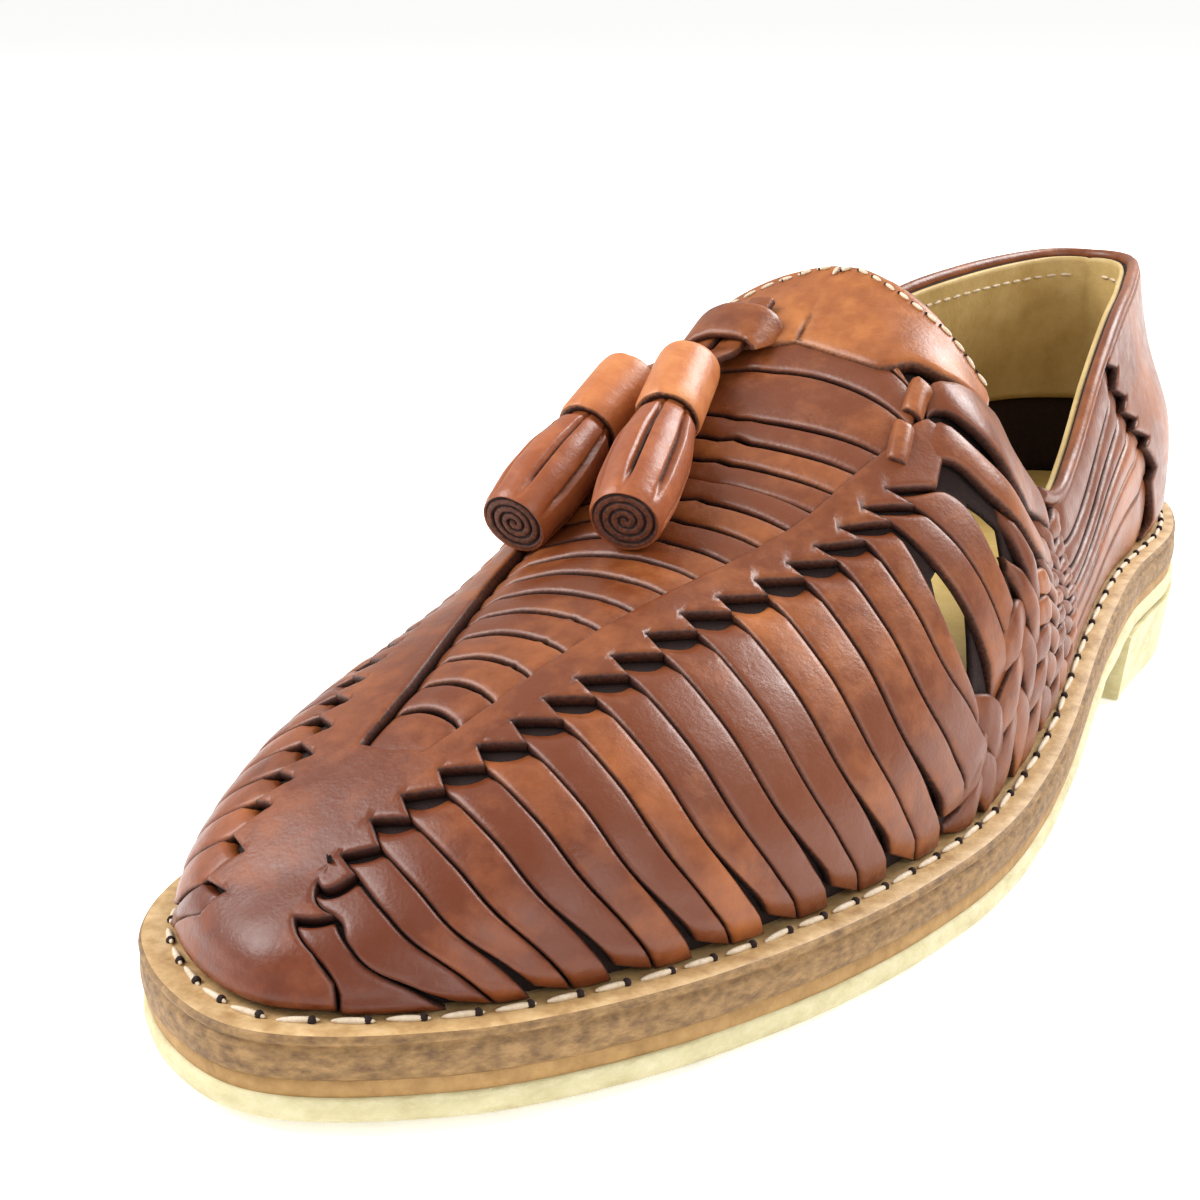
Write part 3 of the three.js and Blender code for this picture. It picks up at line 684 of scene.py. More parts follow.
# a slit's inner and outer corner on the lateral band: number, walk, c, walk, c
LATERAL_SLITS = pattern([
    (1, 0.991, 0.370, 0.956, 0.358), (2, 0.997, 0.125, 0.936, 0.183), (3, 0.941, 0.015, 0.918, 0.158),
    (5, 0.894, 0.058, 0.877, 0.168), (7, 0.854, 0.128, 0.838, 0.240), (10, 0.802, 0.166, 0.782, 0.255),
    (13, 0.741, 0.198, 0.719, 0.281), (16, 0.680, 0.288, 0.658, 0.380), (20, 0.621, 0.375, 0.596, 0.483)])
MEDIAL_SLITS = pattern([
    (1, 0.944, -0.50, 0.928, -0.60), (2, 0.922, -0.40, 0.906, -0.47), (3, 0.893, -0.345, 0.885, -0.425),
    (5, 0.862, -0.305, 0.848, -0.39), (8, 0.805, -0.345, 0.790, -0.435), (13, 0.710, -0.445, 0.695, -0.535),
    (16, 0.655, -0.485, 0.644, -0.57), (20, 0.596, -0.51, 0.586, -0.60)])
# where each gap line meets the sole: number, walk, c
SOLE_END = pairs(np.minimum(1, pattern([
    (0, 0.955, 1), (1, 0.910, 1), (3, 0.872, 1), (5, 0.834, 1), (8, 0.772, 1), (12, 0.690, 1), (15, 0.622, 1),
    (16, 0.601, 0.96), (17, 0.578, 0.93)])))
# the edges of the rungs on the two bands: number, walk, c, walk, c
RUNG_ENDS = pattern([
    (0, 0.872, 0.008, 0.862, -0.183), (2, 0.836, 0.062, 0.825, -0.186), (5, 0.776, 0.090, 0.762, -0.266),
    (8, 0.720, 0.153, 0.703, -0.355), (11, 0.668, 0.240, 0.652, -0.392), (14, 0.628, 0.298, 0.610, -0.412),
    (17, 0.584, 0.375, 0.576, -0.424)])
SLIT_IN, SLIT_OUT = pairs(LATERAL_SLITS[:, :2]), pairs(LATERAL_SLITS[:, 2:])
MEDIAL_IN, MEDIAL_OUT = pairs(MEDIAL_SLITS[:, :2]), pairs(MEDIAL_SLITS[:, 2:])
RUNG_LATERAL, RUNG_MEDIAL = pairs(RUNG_ENDS[:, :2]), pairs(RUNG_ENDS[:, 2:])
print("slits on each band:", len(SLIT_IN), len(MEDIAL_IN), "- rung edges:", len(RUNG_LATERAL))
BAND_LIFT = 1.0


# the last lines spread at the waist, where the shoe can be looked through
OPEN_LINES = {18: [SLIT_OUT[17], (0.618, 0.60), (0.606, 0.75), (0.585, 0.89)],
              19: [SLIT_OUT[18], (0.596, 0.58), (0.577, 0.70), (0.545, 0.845)],
              20: [SLIT_OUT[19], (0.579, 0.56), (0.562, 0.65), (0.546, 0.735)]}


def side_line(k):
    """The gap line from the outer corner of slit k down to the sole, k from 1."""
    if k in OPEN_LINES:
        return OPEN_LINES[k]
    w, c = SLIT_OUT[k - 1]
    we, ce = SOLE_END[k]
    bend = 0.3 * (w - we)
    return [(w, c), (w - bend * 0.45, c + (ce - c) * 0.33), (w - bend * 1.25, c + (ce - c) * 0.66), (we, ce)]


# %% Side strips on the lateral wall
LOBE_CUT = 0.962  # every second strip ends a little short in front, so two strips make one lobe
lateral_strips = Hide()
dice = random.Random(7)
for k in range(1, 21):
    rear = side_line(k)
    head = SLIT_IN[k - 1]
    if k == 1:
        front = [head, (0.968, 0.62), (0.957, 0.82), SOLE_END[0]]
    else:
        front = [head] + side_line(k - 1)
    if k == 19:
        front = [head, SLIT_OUT[17], (0.6085, 0.60), (0.59, 0.74), (0.568, 0.875)]
    if k < 18 and k % 2 == 0:
        front[-1] = (front[-1][0], front[-1][1] * LOBE_CUT)
    lean = dice.uniform(-0.12, 0.12)
    end = [(0.84, 0.9), (0.93, 1.5), (1.0, 0.7)] if k < 18 else [(0.85, 0.6), (1.0, -0.9)]
    lift = [(0.0, -1.2), (0.035, -0.4), (0.1, 0.5 + lean), (0.5, 0.5 + lean)] + end
    spots, heights = strip_grid(front, rear, lift, count=30, gap=lambda u: 0.14 + 0.1 * u, bow_start=0.045,
                                crown=0.2)
    lateral_strips.lay_strip((spots, heights), tone=dice.uniform(-0.3, 0.3))
lateral_strips.finish("lateral_side_strips", brown_leather)

# %% Finding the place on the last that lies under a point seen from above
plan_w, plan_c = np.meshgrid(np.linspace(0.52, 0.99, 260), np.linspace(-0.8, 0.8, 321), indexing="ij")
plan_points, _ = on_last(plan_w.ravel(), plan_c.ravel())
plan_tree = KDTree(len(plan_points))
for n, p in enumerate(plan_points):
    plan_tree.insert((p[0], p[1], 0), n)
plan_tree.balance()


def from_above(xy):
    """Places (walk, c) for points given in mm from above, found near and then refined."""
    out = []
    for x, y in xy:
        n = plan_tree.find((x, y, 0))[1]
        w, c = plan_w.ravel()[n], plan_c.ravel()[n]
        for _ in range(3):
            step = 0.002 if c >= 0 else -0.002
            q, _n = on_last(np.array([w, w + 0.002, w]), np.array([c, c, c + step]))
            move = np.linalg.lstsq(np.stack([(q[1] - q[0])[:2] / 0.002, (q[2] - q[0])[:2] / step], -1),
                                   np.array([x, y]) - q[0][:2], rcond=None)[0]
            if abs(move[0]) > 0.02 or abs(move[1]) > 0.05 or (c + move[1]) * c < 0:
                break
            w, c = w + move[0], c + move[1]
        out.append((w, c))
    return out


def across_instep(a, b, arch, count=15):
    """A line over the instep from a to b, straight from above but for an arch in mm towards the heel."""
    p, _ = on_last(np.array([a[0], b[0]]), np.array([a[1], b[1]]))
    f = np.linspace(0, 1, count)
    xy = p[0][:2] * (1 - f)[:, None] + p[1][:2] * f[:, None]
    xy[:, 1] += arch * 4 * f * (1 - f)
    return [a] + from_above(xy[1:-1]) + [b]


# %% Rungs between the bands
rungs = Hide()
for k in range(15):
    a, b = RUNG_LATERAL[k], RUNG_LATERAL[k + 1]
    c, d = RUNG_MEDIAL[k], RUNG_MEDIAL[k + 1]
    if k == 0:                                      # the first rung starts under the cap
        a, c = (0.884, 0.012), (0.876, -0.18)
    arch = 2.2 if k < 12 else 1.0
    lines = [across_instep((p[0], p[1] + 0.004), q, arch) for p, q in ((a, c), (b, d))]
    lift = [(0.0, 0.15), (0.12, 0.35), (0.6, 0.55), (0.85, 0.2), (1.0, -1.0)]
    spots, heights = strip_grid(lines[0], lines[1], lift, count=20,
                                gap=lambda u: 0.12 + 0.9 * u * (1 - u * u), crown=0.35)
    rungs.lay_strip((spots, heights), tone=dice.uniform(-0.3, 0.3))


def across_by(a, m, b, count=17):
    """A line over the instep from a to b that passes m halfway, smooth from above."""
    p, _ = on_last(*np.array([a, m, b]).T)
    f = np.linspace(0, 1, count)[:, None]
    middle = 2 * p[1][:2] - 0.5 * (p[0][:2] + p[2][:2])
    xy = (1 - f) ** 2 * p[0][:2] + 2 * f * (1 - f) * middle + f * f * p[2][:2]
    return [a] + from_above(xy[1:-1]) + [b]


# three wider straps close the throat below the tab
THROAT_LINES = [across_by((0.585, 0.262), (0.602, -0.004), (0.585, -0.28)),
                across_by((0.583, 0.325), (0.614, -0.004), (0.583, -0.35)),
                across_by((0.594, 0.365), (0.629, -0.004), (0.588, -0.41)),
                across_instep((RUNG_LATERAL[15][0], RUNG_LATERAL[15][1] + 0.004), RUNG_MEDIAL[15], 1.0)]
for k, (upper, lower) in enumerate(zip(THROAT_LINES, THROAT_LINES[1:])):
    lift = [(0.0, 0.3), (0.1, 0.8 - 0.1 * k), (0.9, 0.8 - 0.1 * k), (1.0, 0.0)]
    rungs.lay_strip(strip_grid(lower, upper, lift, count=26, gap=lambda u: 0.15 + 0.5 * u * (1 - u),
                               crown=0.4),
                    tone=(0.15, -0.25, -0.1)[k])
rungs.finish("instep_rungs", brown_leather)

# %% The medial strips, tucked under the medial band
def medial_line(k):
    w, c = MEDIAL_OUT[k - 1]
    we = w - 0.036
    return [(w, c), (w - 0.006, c + (-1 - c) * 0.33), (w - 0.016, c + (-1 - c) * 0.66), (we, -1)]


medial_strips = Hide()
for k in range(1, 21):
    rear, head = medial_line(k), MEDIAL_IN[k - 1]
    front = [head, (0.945, -0.7), (0.93, -0.85), (0.912, -1)] if k == 1 else [head] + medial_line(k - 1)
    if k % 2 == 0:
        front[-1] = (front[-1][0], front[-1][1] * LOBE_CUT)
    lean = dice.uniform(-0.12, 0.12)
    lift = [(0.0, -1.2), (0.035, -0.4), (0.1, 0.5 + lean), (0.5, 0.5 + lean), (0.84, 0.9), (0.93, 1.5),
            (1.0, 0.7)]
    spots, heights = strip_grid(front, rear, lift, count=26, gap=lambda u: 0.14 + 0.1 * u, bow_start=0.045,
                                crown=0.2)
    medial_strips.lay_strip((spots, heights), tone=dice.uniform(-0.3, 0.3))
medial_strips.finish("medial_side_strips", brown_leather)


# %% The toe cap with its two bands, cut from one outline
CHART = np.array([330.0, 72.0])  # rough mm for one whole walk and for c from 0 to 1


def fill_outline(outline, spacing=2.4, rings=(0.3, 0.7, 1.15, 1.8)):
    """Corners and triangles inside an outline of places, with rows of corners close to the cut edge."""
    line = np.array(outline, float) * CHART
    dense = []
    for p, q in zip(line, np.roll(line, -1, axis=0)):
        parts = max(1, int(np.linalg.norm(q - p) / 1.3))
        dense += [p + (q - p) * i / parts for i in range(parts)]
    dense = np.array(dense)
    area = 0.5 * np.sum(dense[:, 0] * np.roll(dense[:, 1], -1) - np.roll(dense[:, 0], -1) * dense[:, 1])
    ahead, behind = np.roll(dense, -1, axis=0), np.roll(dense, 1, axis=0)
    along = ahead - behind
    inward = np.stack([-along[:, 1], along[:, 0]], -1) * np.sign(area)
    inward /= np.linalg.norm(inward, axis=1, keepdims=True)

    def inside(p):
        x, y = p[:, :1], p[:, 1:]
        a, b = dense[None, :, 0], dense[None, :, 1]
        c, d = ahead[None, :, 0], ahead[None, :, 1]
        hit = ((b > y) != (d > y)) & (x < (c - a) * (y - b) / np.where(d == b, 1e-12, d - b) + a)
        return hit.sum(axis=1) % 2 == 1

    def clear(p, limit):
        return np.array([np.linalg.norm(dense - q, axis=1).min() >= limit for q in p])
    extra = []
    for d in rings:
        p = dense + inward * d
        keep = inside(p)
        p = p[keep]
        extra.append(p[clear(p, d * 0.9)])
    lo, hi = dense.min(axis=0), dense.max(axis=0)
    gx, gy = np.meshgrid(np.arange(lo[0], hi[0], spacing), np.arange(lo[1], hi[1], spacing * 0.87))
    gx = gx + (np.arange(gx.shape[0]) % 2)[:, None] * spacing / 2
    p = np.stack([gx.ravel(), gy.ravel()], -1)
    p = p[inside(p)]
    extra.append(p[clear(p, rings[-1] + 0.6)])
    every = np.vstack([dense] + extra)
    out = delaunay_2d_cdt([Vector(v) for v in every], [], [list(range(len(dense)))], 1, 1e-5)
    return np.array([tuple(v) for v in out[0]]) / CHART, [tuple(f) for f in out[2]]


sole_l = [(w, 1.0) for w in np.linspace(1, 0.956, 12)[1:]]
sole_m = [(w, -1.0) for w in np.linspace(0.912, 1, 20)]
toe_line = [(1.0, c) for c in np.linspace(-1, 1, 61)[1:]]
outline = (RUNG_LATERAL[::-1] + [(0.869, -0.09)] + RUNG_MEDIAL + [(0.566, -0.5)]
           + [p for k in range(19, -1, -1) for p in (MEDIAL_OUT[k], MEDIAL_IN[k])]
           + [(0.945, -0.7), (0.93, -0.85)] + sole_m + toe_line + sole_l + [(0.957, 0.82), (0.968, 0.62)]
           + [p for k in range(20) for p in (SLIT_IN[k], SLIT_OUT[k])] + [(0.575, 0.43)])


def cap_lift(spots):
    turn_under = ease(np.abs(spots[:, 1]), [(0, 0), (0.8, 0.0), (0.93, 0.5), (1.001, -1.1)])
    return BAND_LIFT + turn_under


cap = Hide()
spots, faces = fill_outline(outline)
cap.lay(spots, cap_lift(spots), faces, thick=2.0)
cap.finish("toe_cap_and_bands", brown_leather)

# %% [markdown]
# ## The dark inside behind the weave
# Between the strips the eye sees the flesh side of the leather beneath, in shade. A thin near-black skin just
# under the weave paints that shade. It is left open where the real weave is open enough to look through.

# %% Backing skin
SEE_THROUGH = [(0.548, 0.575, 0.54, 0.65), (0.588, 0.613, 0.59, 0.83)]  # walk from, walk to, c from, c to

backing = Hide()
for side in (1, -1):
    ws = sorted(set([round(v, 4) for v in np.linspace(0.0, 1.0, 90)] + [v for h in SEE_THROUGH
                                                                        for v in h[:2]]))
    cs = sorted(set([max(v, EDGE) for v in np.linspace(0.0, 1.0, 26)] + [v for h in SEE_THROUGH
                                                                         for v in h[2:]]))
    spots = np.array([(w, side * c) for w in ws for c in cs])
    faces = []
    for i in range(len(ws) - 1):
        for j in range(len(cs) - 1):
            w, c = (ws[i] + ws[i + 1]) / 2, (cs[j] + cs[j + 1]) / 2
            if any(h[0] < w < h[1] and h[2] < c < h[3] for h in SEE_THROUGH):
                continue
            a = i * len(cs) + j
            faces.append((a, a + 1, a + len(cs) + 1, a + len(cs)))
    # the skin's near-black colour is painted shade seen between the strips
    backing.lay(spots, np.full(len(spots), -1.3), faces, thick=1.0, drop=0.0)
backing.finish("painted_shade_inner_skin", flesh_side_painted_shade, replaces=("woven_upper",))

# %% [markdown]
# ## Throat tab and cross straps
# A smooth tab is folded over the throat and stitched round its rim. Two straps cross from its corner down
# to the plaited joint at the waist of the shoe, on both sides.

# %% The tab
TAB_LOW = [(0.5045, 0.02), (0.522, 0.11), (0.548, 0.2), (0.574, 0.26), (0.592, 0.235), (0.604, 0.14),
           (0.612, 0.06),
           (0.618, EDGE)]
TAB_TOP_FRONT = walk_at(CREST_START)


def tab_places(count=34):
    """Rows of places from the tab's lower edge (0) to its upper edge (1), for the lateral half."""
    low = smooth_line(TAB_LOW, count)
    a = np.linspace(0, 1, count)
    high = np.stack([0.5035 + a * (TAB_TOP_FRONT - 0.5035), np.full(count, EDGE)], -1)
    b = np.array([0, 0.02, 0.05, 0.09, 0.16, 0.3, 0.45, 0.6, 0.75, 0.88, 0.94, 0.975, 1])
    return low[:, None] * (1 - b)[None, :, None] + high[:, None] * b[None, :, None]


tab = Hide()
tab_side = tab_places()
spots, faces = both_sides(tab_side, grid_faces(*tab_side.shape[:2]))
# tone 0.5 makes the tab paler than the strips: a painted highlight
tab.lay(spots, np.full(len(spots), 1.9), faces, thick=2.6, drop=0.8, rim_width=1.5, tone=0.5)
tab.finish("stitched_throat_tab", brown_leather, replaces=("throat_tab",))

# %% Cross straps
STRAPS = [
    ([(0.580, 0.325), (0.546, 0.19), (0.503, 0.035), (0.462, 0.012), (0.425, 0.03)],
     [(0.584, 0.372), (0.545, 0.33), (0.495, 0.215), (0.455, 0.13), (0.42, 0.15)], 1.7),
    ([(0.589, 0.38), (0.55, 0.40), (0.5, 0.30), (0.46, 0.2), (0.435, 0.2)],
     [(0.598, 0.425), (0.565, 0.505), (0.52, 0.47), (0.475, 0.37), (0.445, 0.33)], 1.2)]
straps = Hide()
for upper_line, lower_line, high in STRAPS:
    for side in (1, -1):
        strip = strip_grid([(w, side * c) for w, c in upper_line], [(w, side * c) for w, c in lower_line],
                           [(0, 0.2), (0.1, high), (0.85, high), (1.0, -0.6)], count=30, gap=0.15, crown=0.5)
        straps.lay_strip(strip, tone=dice.uniform(-0.3, 0.2))
# two small squares where the band shows between the cross straps
for upper_line, lower_line in (([(0.596, 0.315), (0.588, 0.375)], [(0.580, 0.285), (0.573, 0.33)]),
                               ([(0.615, 0.335), (0.606, 0.40)], [(0.601, 0.31), (0.593, 0.375)])):
    for side in (1, -1):
        strip = strip_grid([(w, side * c) for w, c in upper_line], [(w, side * c) for w, c in lower_line],
                           [(0, 0.8), (0.3, 2.0), (0.7, 2.0), (1, 0.8)], count=8, gap=0.15, crown=0.3)
        straps.lay_strip(strip, tone=0.25)
straps.finish("cross_straps", brown_leather)

# %% [markdown]
# ## Plaited waist, quarter and counter
# At the waist the ends of all the strips are plaited together. Long straps run from the plait up and back
# to the counter, where each is tucked into a slit. The counter is one smooth piece round the heel.

# %% The plait: leaf-shaped loops, each hump between two tucks
plait = Hide()
COLUMNS = [(0.592, 0.90, 1.0, 1), (0.572, 0.86, 1.0, -1), (0.552, 0.71, 0.99, 1), (0.530, 0.52, 0.99, -1),
           (0.508, 0.50, 0.99, 1), (0.486, 0.40, 0.98, -1),
           (0.464, 0.27, 0.98, 1), (0.442, 0.12, 0.98, -1), (0.42, 0.05, 0.97, 1)]
for side in (1, -1):
    for walk_mid, c_top, c_low, lean in COLUMNS:
        count = max(2, round((c_low - c_top) / 0.105))
        step = (c_low - c_top) / count
        for n in range(count):
            c_mid = c_top + (n + 0.5) * step
            reach, slant, half = 0.019, 0.62 * step, 0.56 * step
            a = (walk_mid + reach, c_mid + lean * slant)
            b = (walk_mid - reach, c_mid - lean * slant)
            m = (walk_mid, c_mid)
            up = [(a[0], a[1] - 0.02), (m[0], m[1] - half), (b[0], b[1] - 0.02)]
            low = [(a[0], a[1] + 0.02), (m[0], m[1] + half), (b[0], b[1] + 0.02)]
            strip = strip_grid([(w, side * min(max(c, 0.004), 1.0)) for w, c in up],
                               [(w, side * min(max(c, 0.004), 1.0)) for w, c in low],
                               [(0, -1.1), (0.25, 0.5), (0.5, 1.1), (0.75, 0.5), (1, -1.1)], count=10,
                               gap=0.12, crown=0.5)
            plait.lay_strip(strip, tone=dice.uniform(-0.35, 0.3))
plait.finish("plaited_waist", brown_leather)

# %% Quarter straps
SLITS_BACK = [(0.285, 0.004), (0.268, 0.12), (0.254, 0.26), (0.24, 0.42), (0.222, 0.60), (0.205, 0.80),
              (0.195, 1.0)]
STRAP_FRONT = [(0.41, 0.006), (0.415, 0.2), (0.42, 0.38), (0.425, 0.55), (0.43, 0.72), (0.433, 0.87),
               (0.436, 1.0)]
quarter = Hide()
for side in (1, -1):
    for k in range(6):
        def line(i):
            a, b = STRAP_FRONT[i], SLITS_BACK[i]
            bend = 0.035 if 0 < i < 6 else 0.0
            return [(a[0], side * a[1]), ((a[0] * 2 + b[0]) / 3, side * ((a[1] * 2 + b[1]) / 3 + bend)),
                    ((a[0] + b[0] * 2) / 3, side * ((a[1] + b[1] * 2) / 3 + bend)), (b[0], side * b[1])]
        strip = strip_grid(line(k), line(k + 1), [(0, -0.8), (0.1, 0.5), (0.85, 0.5), (1.0, -0.9)], count=26,
                           gap=lambda u: 0.15 + 0.5 * u * (1 - u), crown=0.5)
        quarter.lay_strip(strip, tone=dice.uniform(-0.3, 0.3))
quarter.finish("quarter_straps", brown_leather)

# %% Counter round the heel, with a toothed front edge
teeth = [(0.287, EDGE)]
for a, b in zip(SLITS_BACK, SLITS_BACK[1:]):
    teeth += [(a[0] + 0.004, a[1] + 0.012), (b[0] - 0.006, b[1] - 0.03)]
teeth[1] = (0.287, 0.015)
teeth += [(0.2, 1.0)]
outline = ([(0, c) for c in np.linspace(1.0, EDGE, 40)] + [(w, EDGE)
                                                           for w in np.linspace(0, 0.287, 30)[1:-1]] + teeth
           + [(w, 1.0) for w in np.linspace(0.2, 0, 16)[1:-1]])
spots, faces = fill_outline(outline, spacing=3.0)
both, faces = both_sides(spots, faces)
counter = Hide()
counter.lay(both, 1.1 + ease(np.abs(both[:, 1]), [(0, 0), (0.85, 0), (0.95, 0.3), (1.001, -0.9)]), faces,
            thick=2.2)
counter.finish("heel_counter", brown_leather)
heel_strap = Hide()
down = np.linspace(0.004, 0.995, 6)
grid, high = strip_grid([(0.03, c) for c in down], [(0.0, c) for c in down],
                        [(0, 1.6), (0.5, 2.1), (0.9, 2.1), (1, 0.5)], count=24, gap=0.0, crown=0.0)
spots, faces = both_sides(grid, grid_faces(*high.shape))
heel_strap.lay(spots, np.concatenate([high.ravel(), high.ravel()]), faces, thick=1.4)
heel_strap.finish("back_strap", brown_leather)

# %% [markdown]
# ## Lining and piping of the collar
# The collar is lined with natural leather, and its edge is closed with a thin folded brown piping.

# %% Lining
lining = Hide()
ws, cs = np.linspace(0, 0.43, 56), np.concatenate([[EDGE, 0.01, 0.02], np.linspace(0.04, 0.72, 20)])
half = np.array([[(w, c) for c in cs] for w in ws])
spots, faces = both_sides(half, grid_faces(len(ws), len(cs)))
lining.lay(spots, np.full(len(spots), -2.35), faces, thick=1.1, drop=0.2)
lining.finish("collar_lining", lining_leather, slot="lining_leather", replaces=("heel_lining",))


# %% Piping: a round cord of folded leather along the collar
def round_cord(name, path, radius, material, around=10):
    """An open round cord with closed ends, along a path of points in mm."""
    t = np.roll(path, -1, axis=0) - np.roll(path, 1, axis=0)
    t[0], t[-1] = path[1] - path[0], path[-1] - path[-2]
    t /= np.linalg.norm(t, axis=1, keepdims=True)
    side = np.cross(t, [0, 0, 1.0])
    side /= np.linalg.norm(side, axis=1, keepdims=True)
    up = np.cross(side, t)
    turns = np.linspace(0, 2 * np.pi, around, endpoint=False)[None, :, None]
    rings = path[:, None] + radius * (np.cos(turns) * side[:, None] + np.sin(turns) * up[:, None])
    n = len(path)
    faces = [(i * around + k, i * around + (k + 1) % around, (i + 1) * around + (k + 1) % around,
              (i + 1) * around + k)
             for i in range(n - 1) for k in range(around)]
    faces += [tuple(range(around))[::-1], tuple((n - 1) * around + k for k in range(around))]
    mesh = new_mesh(name, rings.reshape(-1, 3), faces, material)
    face_outwards(mesh)
    return shown(name, mesh)


collar_walks = np.linspace(0.43, 0, 90)
lateral_line, lateral_out = on_last(collar_walks, np.full(90, EDGE))
medial_line, medial_out = on_last(collar_walks, np.full(90, -EDGE))
rim_path = np.vstack([lateral_line + lateral_out * -0.5, (medial_line + medial_out * -0.5)[::-1][1:]]) + [0,
                                                                                                          0,
                                                                                                          0.2]
round_cord("collar_piping", rim_path, 1.35, brown_leather)
print("collar piping is", round(np.linalg.norm(np.diff(rim_path, axis=0), axis=1).sum()), "mm long")

# %% [markdown]
# ## The two tassels
# A tassel is a strip of leather cut into a fringe, rolled up tight and gripped by a plain collar. So the
# barrel has slits along it, between flat slats, dark with painted shade that deepens into each slit over the
# cut edges of the fringe, and its end shows the spiral of the roll.

# %% The tassels' axes, from the frame
def axis_of(node, top, end):
    """The axis of a tassel, moved to where the frame has its barrel."""
    lo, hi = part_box(node)
    a, b = np.array(top, float), np.array(end, float)
    move = np.array([(lo.x + hi.x) / 2, (lo.y + hi.y) / 2, (lo.z + hi.z) / 2]) / MM
    along = b - a
    long = np.linalg.norm(along)
    along /= long
    middle = a + along * (long + 5) / 2
    off = move - middle
    off -= along * np.dot(off, along)
    return a + off, along, long


TASSELS = {"front": ((-13.6, -18, 79.9), (-3, -57, 62.4)), "rear": ((-25.5, -17, 76.4), (-25, -55, 58.4))}
COLLAR_LONG, COLLAR_OUT, COLLAR_IN = 16.5, 5.6, 4.4


def turned_grid(start, along, rings, radius_of, turns):
    """A grid of points round an axis; radius_of gives the radius for a distance and an angle."""
    side = np.cross(along, [1.0, 0, 0])
    side /= np.linalg.norm(side)
    up = np.cross(along, side)
    out = []
    for s in rings:
        out.append([start + along * s + radius_of(s, t) * (math.cos(t) * side + math.sin(t) * up)
                    for t in turns])
    return np.array(out)


def closed_tube(name, grid, material, rims, replaces, tone=0.0):
    """A piece from rings of points; the first and last rings close on their middles."""
    rows, cols = grid.shape[:2]
    points = np.vstack([grid.reshape(-1, 3), grid[0].mean(axis=0), grid[-1].mean(axis=0)])
    faces = [(i * cols + k, i * cols + (k + 1) % cols, (i + 1) * cols + (k + 1) % cols, (i + 1) * cols + k)
             for i in range(rows - 1) for k in range(cols)]
    for ring, middle in ((0, rows * cols), (rows - 1, rows * cols + 1)):
        faces += [(ring * cols + k, ring * cols + (k + 1) % cols, middle) for k in range(cols)]
    rim = np.concatenate([np.ravel(rims), [rims[0][0], rims[-1][0]]])
    mesh = new_mesh(name, points, faces, material, {"rim": rim, "tone": np.full(len(points), tone)})
    face_outwards(mesh)
    return shown(name, mesh, replaces)


